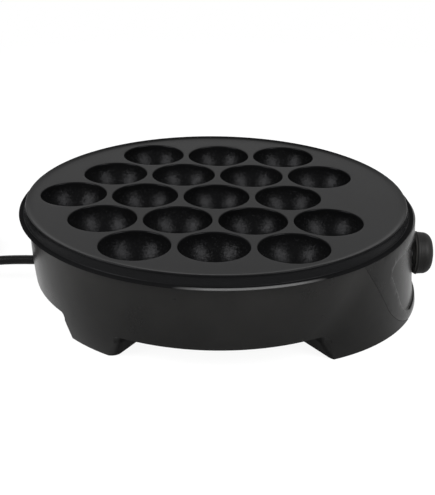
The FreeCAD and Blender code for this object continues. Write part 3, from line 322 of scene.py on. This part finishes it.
def stage():
    """Two softboxes before the sides and a faint one behind, a white surround and a pale floor."""
    surround()
    floor()
    for name, values in LAMPS.items():
        area_lamp(name, *values)
    bpy.context.scene.view_settings.view_transform = "Standard"


# --- finishes ----------------------------------------------------------------

def group_tree(name, inputs, outputs):
    """Empty node group with named sockets: (name, kind, value) in, (name, kind) out."""
    tree = bpy.data.node_groups.new(name, "ShaderNodeTree")
    for label, kind, value in inputs:
        socket = tree.interface.new_socket(label, in_out="INPUT", socket_type="NodeSocket" + kind)
        socket.default_value = value
    for label, kind in outputs:
        tree.interface.new_socket(label, in_out="OUTPUT", socket_type="NodeSocket" + kind)
    given = tree.nodes.new("NodeGroupInput").outputs
    return tree, given, tree.nodes.new("NodeGroupOutput").inputs


def grain_group():
    """Fine even texture of a moulded or sprayed skin: noise turned into a small relief."""
    tree, given, out = group_tree("grain", [
        ("Scale", "Float", 1500.0), ("Height", "Float", 0.00003), ("Strength", "Float", 0.5)],
        [("Normal", "Vector")])
    noise = node(tree, "TexNoise", Vector=on_object(tree), Scale=given["Scale"], Detail=3.0,
                 Roughness=0.6)
    relief = node(tree, "Bump", Strength=given["Strength"], Distance=given["Height"],
                  Height=noise.outputs["Fac"])
    feed(tree, out["Normal"], relief.outputs["Normal"])
    return tree


def mottle_group():
    """Slow drift of colour and gloss over a surface, with a finer unevenness on top of it."""
    tree, given, out = group_tree("mottle", [
        ("Dark", "Color", (0, 0, 0, 1)), ("Light", "Color", (1, 1, 1, 1)),
        ("Scale", "Float", 30.0), ("Smooth", "Float", 0.3), ("Rough", "Float", 0.5)],
        [("Color", "Color"), ("Roughness", "Float")])
    place = on_object(tree)
    broad = node(tree, "TexNoise", Vector=place, Scale=given["Scale"], Detail=4.0, Roughness=0.55)
    wide = ramp(tree, broad.outputs["Fac"], 0.3, 0.7)
    finer = maths(tree, "MULTIPLY", given["Scale"], 7.3)
    small = node(tree, "TexNoise", Vector=place, Scale=finer, Detail=2.0)
    both = maths(tree, "MULTIPLY_ADD", small.outputs["Fac"], 0.5, wide)
    feed(tree, out["Color"], blend(tree, wide, given["Dark"], given["Light"]))
    feed(tree, out["Roughness"], ramp(tree, both, 0.1, 1.3, given["Smooth"], given["Rough"]))
    return tree


def fleck_group():
    """Small bright specks scattered over a surface: a few of many tiny cells, chosen by their own
    random number, and only near the middle of each."""
    tree, given, out = group_tree("flecks", [
        ("Scale", "Float", 800.0), ("Share", "Float", 0.1), ("Size", "Float", 0.35)],
        [("Mask", "Float")])
    cells = node(tree, "TexVoronoi", Vector=on_object(tree), Scale=given["Scale"])
    chance = node(tree, "SeparateColor", _0=cells.outputs["Color"]).outputs[0]
    chosen = maths(tree, "LESS_THAN", chance, given["Share"])
    near = maths(tree, "LESS_THAN", cells.outputs["Distance"], given["Size"])
    feed(tree, out["Mask"], maths(tree, "MULTIPLY", chosen, near))
    return tree


def facet_group():
    """Sparkle of a sprayed coat: each tiny cell leans its own way, by its random colour less a
    half."""
    tree, given, out = group_tree("facets", [("Scale", "Float", 1500.0), ("Tilt", "Float", 0.4)],
                                  [("Normal", "Vector")])
    cells = node(tree, "TexVoronoi", Vector=on_object(tree), Scale=given["Scale"])
    lean = vectors(tree, "SUBTRACT", cells.outputs["Color"], (0.5, 0.5, 0.5))
    away = vectors(tree, "SCALE", lean, Scale=given["Tilt"])
    leaning = vectors(tree, "ADD", surface_normal(tree), away)
    feed(tree, out["Normal"], vectors(tree, "NORMALIZE", leaning))
    return tree


def brushed_group():
    """Fine parallel lines of rolled or drawn metal, and a faint tarnish across them."""
    tree, given, out = group_tree("brushed", [
        ("Stretch", "Vector", (1, 1, 1)), ("Dark", "Color", (0.4, 0.4, 0.4, 1)),
        ("Light", "Color", (0.7, 0.7, 0.7, 1))],
        [("Color", "Color"), ("Roughness", "Float"), ("Normal", "Vector")])
    place = on_object(tree)
    stretched = vectors(tree, "MULTIPLY", place, given["Stretch"])
    lines = node(tree, "TexNoise", Vector=stretched, Scale=1.0, Detail=4.0, Roughness=0.7)
    stain = node(tree, "TexNoise", Vector=place, Scale=90.0, Detail=4.0)
    tone = maths(tree, "MULTIPLY_ADD", lines.outputs["Fac"], 0.5, stain.outputs["Fac"])
    share = ramp(tree, tone, 0.5, 1.0)
    relief = node(tree, "Bump", Strength=0.25, Distance=0.01 * MM, Height=lines.outputs["Fac"])
    feed(tree, out["Color"], blend(tree, share, given["Dark"], given["Light"]))
    feed(tree, out["Roughness"], ramp(tree, lines.outputs["Fac"], 0.2, 0.8, 0.22, 0.45))
    feed(tree, out["Normal"], relief.outputs["Normal"])
    return tree


def placed(tree, group, **values):
    """A node group in a material, with its own values."""
    made = tree.nodes.new("ShaderNodeGroup")
    made.node_tree = GROUPS[group]
    for name, value in values.items():
        feed(tree, made.inputs[name], value)
    return made.outputs


def grey(level, tint=NEUTRAL):
    """Colour of this brightness, with a slight tint."""
    return tuple(level * share for share in tint) + (1.0,)


def new_material(name, level=0.5, **plain):
    """Material with a Principled shader of this specular level. Plain values go on the shader's
    own sockets."""
    material = bpy.data.materials.new(name)
    material.use_nodes = True
    shader = material.node_tree.nodes["Principled BSDF"]
    shader.inputs["Specular IOR Level"].default_value = level
    for socket, value in plain.items():
        shader.inputs[socket.replace("_", " ")].default_value = value
    return material, material.node_tree, shader


def dress(tree, shader, colour, roughness, normal):
    """Feed a shader what changes over the surface."""
    feed(tree, shader.inputs["Base Color"], colour)
    feed(tree, shader.inputs["Roughness"], roughness)
    feed(tree, shader.inputs["Normal"], normal)


def moulded(name, dark, light, tint, smooth, rough, grain, height, level=0.5, scale=30.0):
    """Plastic, rubber, silicone or ceramic: mottled colour and gloss under a fine grain."""
    material, tree, shader = new_material(name, level)
    skin = placed(tree, "mottle", Dark=grey(dark, tint), Light=grey(light, tint), Scale=scale,
                  Smooth=smooth, Rough=rough)
    relief = placed(tree, "grain", Scale=grain, Height=height)
    dress(tree, shader, skin["Color"], skin["Roughness"], relief["Normal"])
    return material


def drawn_metal(name, dark, light, tint, stretch):
    """Rolled, drawn or turned metal with fine lines."""
    material, tree, shader = new_material(name, Metallic=1.0)
    skin = placed(tree, "brushed", Stretch=stretch, Dark=grey(dark, tint), Light=grey(light, tint))
    dress(tree, shader, skin["Color"], skin["Roughness"], skin["Normal"])
    return material


def plate_coating():
    """Satin non-stick coat. The flat face is smooth. The cups keep the sparkle of the sprayed
    coat, with a few lighter flecks in it. The outer wall is a little paler and the flange dull,
    with a painted highlight: a light colour along its edge at the front."""
    material, tree, shader = new_material("plate_coating", 0.03, Specular_Tint=(0.96, 0.96, 1, 1))
    place = on_object(tree)
    outward = from_axis(tree, place)
    radius = vectors(tree, "LENGTH", outward)
    low = ramp(tree, along(tree, place, 2), *[FACE - depth for depth in SPARKLE_DEPTHS])
    in_cup = maths(tree, "MULTIPLY", low, maths(tree, "LESS_THAN", radius, SEAM_RADIUS))

    skin = placed(tree, "mottle", Dark=grey(0.0012, COOL), Light=grey(0.0022, COOL), Scale=22.0,
                  Smooth=0.20, Rough=0.26)
    flecks = placed(tree, "flecks", Scale=1300.0, Share=0.16, Size=0.34)
    shown = maths(tree, "MULTIPLY", flecks["Mask"], in_cup)
    flecked = blend(tree, shown, skin["Color"], grey(0.008, COOL))

    beyond = ramp(tree, radius, LIP_RADIUS + 0.5 * MM, LIP_RADIUS + 0.9 * MM)
    before = ramp(tree, radius, WALL_RADIUS + 0.2 * MM, WALL_RADIUS - 0.1 * MM)
    on_wall = maths(tree, "MULTIPLY", beyond, before)
    walled = blend(tree, on_wall, flecked, grey(0.0036, COOL))

    # painted highlight: a light colour on the flange's outer edge, fading out away from the front
    outer = ramp(tree, radius, FLANGE_RADIUS - 1.2 * MM, FLANGE_RADIUS - 1.0 * MM)
    toward = vectors(tree, "DOT_PRODUCT", outward, PAINTED_HIGHLIGHT_SIDE)
    bright = maths(tree, "MULTIPLY", outer, ramp(tree, toward, *PAINTED_HIGHLIGHT_FADE))
    colour = blend(tree, bright, walled, grey(0.05))

    gloss = ramp(tree, in_cup, first=skin["Roughness"], last=0.24)
    on_flange = ramp(tree, radius, WALL_RADIUS, WALL_RADIUS + 0.4 * MM)
    roughness = ramp(tree, on_flange, first=gloss, last=0.9)
    fine = placed(tree, "grain", Scale=2600.0, Height=0.003 * MM)
    sparkle = placed(tree, "facets", Scale=3000.0, Tilt=0.27)
    relief = node(tree, "Mix", {"data_type": "VECTOR"}, _0=in_cup, _4=fine["Normal"],
                  _5=sparkle["Normal"])
    dress(tree, shader, colour, roughness, relief.outputs[1])
    return material


def body_plastic():
    """Satin on the outside of the wall, with painted shading that makes it darker low down and
    paler towards its top. What doesn't face outwards, such as the legs' ends and the underside,
    is duller, and darker by painted shade."""
    material, tree, shader = new_material("body_plastic", 0.13)
    place = on_object(tree)
    outward = vectors(tree, "NORMALIZE", from_axis(tree, place))
    facing = vectors(tree, "DOT_PRODUCT", outward, surface_normal(tree))
    # painted shade: faces turned away from the outside get a darker colour; the same mask also
    # makes them rough
    inwards = ramp(tree, facing, 0.85, 0.5)
    skin = placed(tree, "mottle", Dark=grey(0.0024, WARM), Light=grey(0.0038, WARM), Scale=30.0,
                  Smooth=0.26, Rough=0.34)
    # painted shading: the wall's colour is scaled from darker low down to paler high up
    paler = ramp(tree, along(tree, place, 2), *BODY_SHADING_HEIGHTS, *BODY_SHADING_FACTORS)
    wall = vectors(tree, "SCALE", skin["Color"], Scale=paler)
    colour = blend(tree, inwards, wall, grey(0.0012, WARM))
    roughness = ramp(tree, inwards, first=skin["Roughness"], last=1.0)
    relief = placed(tree, "grain", Scale=1700.0, Height=0.02 * MM)
    dress(tree, shader, colour, roughness, relief["Normal"])
    return material


def knob_painted_light_and_black_block(material):
    """Make the knob's back a little paler with painted light. The cord's block has the
    same plastic. It lies where x is below 0, and is made near black and duller."""
    tree = material.node_tree
    shader = tree.nodes["Principled BSDF"]
    skin, gloss, relief = [shader.inputs[socket].links[0].from_socket
                           for socket in ("Base Color", "Roughness", "Normal")]
    place = along(tree, on_object(tree), 0)
    # painted light: a paler colour on the knob's back
    behind = ramp(tree, place, KNOB_BACK - 0.1 * MM, KNOB_BACK - 0.7 * MM)
    on_knob = maths(tree, "GREATER_THAN", place, 0.0)
    pale = blend(tree, behind, skin, grey(0.06, WARM))
    colour = blend(tree, on_knob, grey(0.0006), pale)
    roughness = ramp(tree, on_knob, first=0.9, last=gloss)
    dress(tree, shader, colour, roughness, relief)


def finishes():
    """One material for each slot of the record."""
    made = {"plate_coating": plate_coating(), "body_plastic": body_plastic()}
    made.update({name: moulded(name, *values) for name, values in MOULDED.items()})
    made.update({name: drawn_metal(name, *values) for name, values in DRAWN.items()})
    knob_painted_light_and_black_block(made["knob_plastic"])
    return made


GROUPS = {"grain": grain_group(), "mottle": mottle_group(), "flecks": fleck_group(),
          "facets": facet_group(), "brushed": brushed_group()}
FINISHES = finishes()


def dress_frame():
    """Give each CAD node the finish of its slot."""
    for entry in frame["record"]["subparts"]:
        for spot in frame["nodes"][entry["node"]].material_slots:
            spot.material = FINISHES[entry["material_slot"]]


def soften_edges():
    """Small radii on the moulded pieces' sharp edges."""
    for name, width in EDGE_RADII.items():
        shape = frame["nodes"][name]
        weld = shape.modifiers.new("weld", "WELD")
        weld.merge_threshold = EDGE_WELD
        flat = shape.modifiers.new("flat", "DECIMATE")
        flat.decimate_type = "DISSOLVE"
        flat.angle_limit = math.radians(EDGE_FLAT)
        bevel = shape.modifiers.new("edge", "BEVEL")
        bevel.width = width
        bevel.segments = EDGE_SEGMENTS
        bevel.limit_method = "ANGLE"
        bevel.angle_limit = math.radians(EDGE_SHARP)
        bevel.harden_normals = True
        # on the panel, short edges at the corners would hold the whole width back
        bevel.use_clamp_overlap = name != "control_panel"


# --- cord --------------------------------------------------------------------

def to_frame(route):
    """Points of a route given in mm from the plate's axis."""
    return [(x * MM + AXIS_X, y * MM, z * MM) for x, y, z in route]


def cord_points():
    """Out of the grommet, down to the coil, round three turns inwards on its top layer and three
    outwards on the floor, then on to the plug. Each turn is a cord's width inside the one before
    or outside it. The height steps down between the layers by s^2 (3 - 2s)."""
    turn = np.arange(2 * COIL_TURNS * POINTS_A_TURN + 1) / POINTS_A_TURN
    # control points lie a little outside the curve they make
    swell = 8 / (6 + 2 * math.cos(2 * math.pi / POINTS_A_TURN))
    inward = 2 * CORD_RADIUS * (COIL_TURNS - np.abs(turn - COIL_TURNS))
    radius = (COIL_OUTER - inward) * swell
    drop = np.clip((turn - COIL_TURNS) / COIL_DROP + 0.5, 0, 1)
    height = CORD_RADIUS * (3 - 2 * drop * drop * (3 - 2 * drop))
    angle = -math.pi / 2 - 2 * math.pi * turn
    turns = np.stack([COIL_CENTRE[0] + radius * np.cos(angle),
                      COIL_CENTRE[1] + radius * np.sin(angle), height], 1)
    return to_frame(CORD_LEAD) + [tuple(point) for point in turns] + to_frame(CORD_TAIL)


def power_cord(tie):
    """One round curve from the grommet to the plug, which ends it along with its blades. The tie
    argument is not used."""
    points = cord_points()
    curve = bpy.data.curves.new("cord", "CURVE")
    curve.dimensions = "3D"
    curve.bevel_depth = 1.0             # times each point's own radius
    curve.bevel_resolution = 6
    curve.resolution_u = 6
    curve.use_fill_caps = True
    spline = curve.splines.new("NURBS")
    spline.points.add(len(points) - 1)
    for spot, point in zip(spline.points, points):
        spot.co = (*point, 1)
        spot.radius = CORD_RADIUS
    spline.order_u = 3
    spline.use_endpoint_u = True
    cord = bpy.data.objects.new("cord", curve)
    bpy.context.collection.objects.link(cord)
    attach(cord, "base")
    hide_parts("power_cord", "cord_coil", "cord_tail")
    curve.materials.append(FINISHES["cord_rubber"])


# --- surfaces ----------------------------------------------------------------

def grid_faces(rows, columns, closed):
    """Quads of a grid whose columns go round, and whose rows join up too if closed."""
    row, column = np.meshgrid(np.arange(rows if closed else rows - 1), np.arange(columns),
                              indexing="ij")
    after, beside = (row + 1) % rows, (column + 1) % columns
    corners = (row * columns + column, row * columns + beside,
               after * columns + beside, after * columns + column)
    return np.stack(corners, -1).reshape(-1, 4)


def piece(name, parts, body, slot, *nodes):
    """One object out of (points, faces) parts, with the points that they share merged. It rides on
    a body and stands for CAD nodes."""
    points, faces, start = [], [], 0
    for spots, loops in parts:
        points.append(spots.reshape(-1, 3))
        faces += (loops + start).tolist()
        start += points[-1].shape[0]
    mesh = bpy.data.meshes.new(name)
    mesh.from_pydata(np.concatenate(points).tolist(), [], faces)
    shape = bmesh.new()
    shape.from_mesh(mesh)
    bmesh.ops.remove_doubles(shape, verts=shape.verts, dist=MERGE)
    shape.to_mesh(mesh)
    shape.free()
    mesh.validate()
    mesh.shade_smooth()
    mesh.materials.append(FINISHES[slot])
    made = bpy.data.objects.new(name, mesh)
    bpy.context.collection.objects.link(made)
    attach(made, body)
    if nodes:
        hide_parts(*nodes)
    return made


def arc_profile(centre, radius, start, end, count):
    """Points of a circular arc in a profile, angles in degrees."""
    angle = np.radians(np.linspace(start, end, count))
    return np.stack([centre[0] + radius * np.cos(angle), centre[1] + radius * np.sin(angle)], 1)


def squared_circle(turn, degree):
    """The curve |x|^n + |y|^n = 1: x and y are the turn's cosine and sine to the power of 2/n, with
    their signs kept."""
    return [np.sign(side) * np.abs(side) ** (2 / degree) for side in (np.cos(turn), np.sin(turn))]


def cord_tie():
    """Flat strap round the coil, half a turn from where the cord joins it. Its line is the curve
    |y/a|^6 + |z/b|^6 = 1 about the bundle and its section the curve |t|^4 + |w|^4 = 1. Its
    thickness stands off the line towards (cos^5 / a, sin^5 / b)."""
    turn = np.linspace(0, 2 * math.pi, TIE_ROWS, endpoint=False)[:, None]
    section = np.linspace(0, 2 * math.pi, TIE_COLUMNS, endpoint=False)
    half_high = (4 * CORD_RADIUS + TIE_THICK) / 2
    half_wide = COIL_TURNS * CORD_RADIUS + TIE_THICK / 2
    middle = COIL_CENTRE[1] + COIL_OUTER - COIL_TURNS * CORD_RADIUS
    out, up = squared_circle(turn, 6)
    thick, wide = squared_circle(section, 4)
    rise = TIE_THICK / 2 * thick
    lean = (np.cos(turn) ** 5 / half_wide, np.sin(turn) ** 5 / half_high)
    size = np.hypot(*lean)
    spots = np.stack([COIL_CENTRE[0] + TIE_WIDE / 2 * wide + 0 * turn,
                      middle + half_wide * out + rise * lean[0] / size,
                      half_high + TIE_THICK / 2 + half_high * up + rise * lean[1] / size], -1)
    faces = grid_faces(TIE_ROWS, TIE_COLUMNS, True)[:, ::-1]
    return piece("cord_tie", [(spots, faces)], "base", "cord_rubber")


# --- cooking plate -----------------------------------------------------------

def cup_centres():
    """Hexagonal grid as rings about the axis: (radius in pitches, directions in degrees). The last
    one is the place left out on the knob side."""
    rings = [(0, [0]), (1, range(0, 360, 60)), (math.sqrt(3), range(30, 390, 60)),
             (2, range(60, 420, 60))]
    return np.array([(ring * math.cos(math.radians(turn)), ring * math.sin(math.radians(turn)))
                     for ring, turns in rings for turn in turns]) * CUP_PITCH


def halfway(centre, centres, angle):
    """How far it is to half way to the nearest other cup in each direction: half the gap over the
    cosine of the angle between. Where that cosine is small or less than nothing, the line is
    taken to be far off."""
    least, far = 0.05, 1.0
    away = centres - centre
    gap = np.hypot(*away.T)
    away, gap = away[gap > MERGE], gap[gap > MERGE]
    lean = np.cos(angle[:, None] - np.arctan2(away[:, 1], away[:, 0]))
    return np.where(lean > least, gap / 2 / np.maximum(lean, least), far).min(1)


def to_seam(centre, angle):
    """How far it is from a cup's centre c to the seam circle in each direction d:
    -c.d + sqrt((c.d)^2 + seam^2 - c.c)."""
    ahead = centre[0] * np.cos(angle) + centre[1] * np.sin(angle)
    return -ahead + np.sqrt(ahead ** 2 + SEAM_RADIUS ** 2 - centre @ centre)


def cell_fan(centre, centres):
    """Directions from a cup's centre, how far its cell reaches in each, and whether it reaches the
    seam there. Where the seam meets a halfway line, the seam's nearest direction is moved onto
    that corner by halving, so that cells fit together."""
    def limits(turn):
        """How far the halfway lines and the seam are."""
        return halfway(centre, centres, turn), to_seam(centre, turn)

    angle = np.linspace(0, 2 * math.pi, CELL_COLUMNS, endpoint=False)
    line, seam = limits(angle)
    outside = seam < line
    for edge in np.flatnonzero(outside != np.roll(outside, -1)):
        beside = (edge + 1) % CELL_COLUMNS
        low, high = angle[edge], angle[edge] + 2 * math.pi / CELL_COLUMNS
        start_out = outside[edge]
        for _ in range(50):
            middle = (low + high) / 2
            line, seam = limits(np.array([middle]))
            low, high = (middle, high) if (seam[0] < line[0]) == start_out else (low, middle)
        angle[edge if start_out else beside] = low
    line, seam = limits(angle)
    return angle, np.minimum(line, seam), seam <= line + MERGE / 10


def cell_surface(centre, angle, radius, height, top):
    """Polar patch about a cup: x, y = centre + radius * (cos, sin) of the direction."""
    spots = np.stack([AXIS_X + centre[0] + radius * np.cos(angle),
                      centre[1] + radius * np.sin(angle), height], -1)
    faces = grid_faces(len(radius), len(angle), False)
    return spots, faces if top else faces[:, ::-1]


def cell_top(centre, angle, reach, cup):
    """Face, rounded mouth and bowl of a cup, from the cell's edge to the pole. On the face, rows
    blend from the reach to the mouth's radius. The bowl goes in by cup radius * cos t and down by
    (cup radius - edge) * sin t below its rounded edge."""
    mouth = CUP_RADIUS + CUP_EDGE
    if cup:
        share = np.array([1, 0.6, 0.25])[:, None]
        edge = arc_profile((mouth, -CUP_EDGE), CUP_EDGE, 90, 180, 6)
        turn = np.radians(np.linspace(0, 90, BOWL_ROWS + 1))[1:]
        bowl = np.stack([CUP_RADIUS * np.cos(turn),
                         -CUP_EDGE - (CUP_RADIUS - CUP_EDGE) * np.sin(turn)], 1)
        inner = np.concatenate([edge, bowl])
        radius = np.concatenate([share * reach + (1 - share) * mouth, inner[:, :1] + 0 * angle])
        drop = np.concatenate([0 * share, inner[:, 1:]])
    else:
        radius = np.array([1, 0.75, 0.5, 0.25, 0])[:, None] * reach
        drop = 0.0
    return cell_surface(centre, angle, radius, FACE + drop + 0 * radius, True)


def cell_under(centre, angle, reach, cup):
    """Underside: the flat plate out to the cell's edge, and the ball about a cup, which runs into
    its neighbour's ball where the two are nearer than that. Where there is no cup, the neighbours'
    balls reach in as far as r = pitch cos a - sqrt(foot^2 - pitch^2 sin^2 a), a being the direction
    off the line to the neighbour."""
    shell = CUP_RADIUS + CUP_WALL
    foot = math.sqrt(shell ** 2 - PLATE_WALL ** 2)

    def ball(radius):
        """Height of the ball, and of the flat plate beyond it."""
        depth = np.sqrt(shell ** 2 - np.minimum(radius, foot) ** 2)
        return FACE - np.maximum(depth, PLATE_WALL)

    share = np.sin(np.radians(np.linspace(90, 0, 10)))[:, None]
    if cup:
        radius = np.concatenate([reach[None], share * np.minimum(reach, foot)])
        height = ball(radius)
    else:
        lean = CUP_PITCH / 2 / reach
        inside = np.maximum(foot ** 2 - CUP_PITCH ** 2 * (1 - lean ** 2), 0)
        bite = np.where(reach < foot, CUP_PITCH * lean - np.sqrt(inside), reach)
        radius = np.concatenate([reach[None], share * bite])
        height = np.concatenate([ball(reach)[None], FACE - PLATE_WALL + 0 * share * bite])
    return cell_surface(centre, angle, radius, height, False)


def rim(azimuths):
    """Upturned lip, outer wall and flange, as a profile carried round the axis. Both its ends lie
    on the seam circle. The face turns up as rise = steepness * (radius - seam)^2 / 2 and runs into
    the crest, whose radius and top height are given, in one line with it."""
    under = FACE - PLATE_WALL
    step = np.linspace(0, LIP_RADIUS - SEAM_RADIUS, 8)
    slope = LIP_RISE * 2 / (LIP_RADIUS - SEAM_RADIUS)
    turn = math.atan(slope)
    top = LIP_RISE - CREST * (1 - math.cos(turn))
    dish = np.stack([SEAM_RADIUS + step, FACE + top * (step / step[-1]) ** 2], 1)
    crest = arc_profile((LIP_RADIUS + CREST * math.sin(turn), FACE + LIP_RISE - CREST), CREST,
                        90 + math.degrees(turn), -45, 12)[1:]
    foot = arc_profile((WALL_RADIUS + WALL_FILLET, FACE - FLANGE_TOP + WALL_FILLET), WALL_FILLET,
                       180, 270, 5)
    edge = arc_profile((FLANGE_RADIUS - FLANGE_ROUND, FACE - FLANGE_MIDDLE), FLANGE_ROUND,
                       85, -85, 9)
    inside = [(SKIRT_RADIUS, FACE - FLANGE_UNDER), (SKIRT_RADIUS, under - 1.5 * MM),
              (SKIRT_RADIUS - 0.4 * MM, under - 0.5 * MM), (SKIRT_RADIUS - 1.5 * MM, under),
              (SEAM_RADIUS, under)]
    radius, height = np.concatenate([dish, crest, foot, edge, inside]).T[:, :, None]
    spots = np.stack([AXIS_X + radius * np.cos(azimuths), radius * np.sin(azimuths),
                      height + 0 * azimuths], -1)
    return spots, grid_faces(len(radius), len(azimuths), False)[:, ::-1]


def cooking_plate():
    """Top and underside as patches about the cups, and the rim round them."""
    centres = cup_centres()
    parts, azimuths = [], []
    for index, centre in enumerate(centres):
        cup = index < len(centres) - 1
        angle, reach, outside = cell_fan(centre, centres)
        parts += [cell_top(centre, angle, reach, cup), cell_under(centre, angle, reach, cup)]
        spots = centre[:, None] + reach * np.stack([np.cos(angle), np.sin(angle)])
        azimuths.append(np.arctan2(spots[1], spots[0])[outside])
    azimuths = np.sort(np.concatenate(azimuths))
    azimuths = azimuths[np.diff(azimuths, append=azimuths[0] + 2 * math.pi) > MERGE / SEAM_RADIUS]
    parts.append(rim(azimuths))
    piece("cooking_plate", parts, "base", "plate_coating", "takoyaki_plate")


# --- knob --------------------------------------------------------------------

def turned_knob(profile):
    """Profile of (x, radius) carried round the knob's axis: y = radius cos a,
    z = axis + radius sin a. Its two ends lie on the axis."""
    angle = np.linspace(0, 2 * math.pi, KNOB_COLUMNS, endpoint=False)
    x, radius = np.asarray(profile, float).T[:, :, None]
    spots = np.stack([x + 0 * angle, radius * np.cos(angle),
                      KNOB_AXIS + radius * np.sin(angle)], -1)
    return spots, grid_faces(len(profile), KNOB_COLUMNS, False)


def knob():
    """Shaft bore, hub, hollow back, slanted collar, side with three shallow rings, and a crowned
    nose. The rings go in by groove * sin^2 (3 pi s) along the side and the crown falls off by
    crown * s^2 from the axis."""
    hub_bevel, hub_back, hollow = 0.3 * MM, KNOB_BACK - 1.7 * MM, KNOB_BACK - 0.5 * MM
    collar_back = KNOB_BACK - 0.9 * MM
    side_start = KNOB_BACK + 1.05 * MM
    corner_start = KNOB_LENGTH - KNOB_CORNER
    bore = [(KNOB_BACK + KNOB_BORE_DEPTH, 0), (KNOB_BACK + KNOB_BORE_DEPTH, KNOB_BORE),
            (hub_back + hub_bevel, KNOB_BORE), (hub_back, KNOB_BORE + hub_bevel)]
    hub = [(hub_back, KNOB_HUB - hub_bevel), (hub_back + hub_bevel, KNOB_HUB),
           (hollow - 0.2 * MM, KNOB_HUB), (hollow, KNOB_HUB + hub_bevel)]
    collar = [(hollow, KNOB_COLLAR - 2.0 * MM), (collar_back, KNOB_COLLAR - 1.6 * MM),
              (collar_back, KNOB_COLLAR - 0.9 * MM),
              (collar_back + 0.2 * MM, KNOB_COLLAR - 0.65 * MM),
              (KNOB_BACK + 0.6 * MM, KNOB_COLLAR),
              (KNOB_BACK + 0.85 * MM, KNOB_COLLAR - 0.05 * MM), (side_start, KNOB_SIDE)]
    step = np.linspace(0, 1, 40)[1:]
    side = np.stack([side_start + step * (corner_start - 1.0 * MM),
                     KNOB_SIDE + (KNOB_NOSE - KNOB_SIDE) * step
                     - KNOB_GROOVE * np.sin(3 * math.pi * step) ** 2], 1)
    turn = np.radians(np.linspace(90, 8, 14))[1:]
    rounding = np.stack([KNOB_BACK + corner_start + 0.05 * MM
                         + (KNOB_CORNER - KNOB_CROWN - 0.05 * MM) * np.cos(turn),
                         KNOB_NOSE - KNOB_CORNER + KNOB_CORNER * np.sin(turn)], 1)
    share = np.linspace(1, 0, 10)[1:]
    crown = np.stack([KNOB_BACK + KNOB_LENGTH - KNOB_CROWN * share ** 2,
                      rounding[-1, 1] * share], 1)
    profile = np.concatenate([bore + hub + collar, side, rounding, crown])
    piece("knob", [turned_knob(profile)], "control", "knob_plastic", "control_knob")


camera()
stage()
dress_frame()
soften_edges()
power_cord(cord_tie())
cooking_plate()
knob()
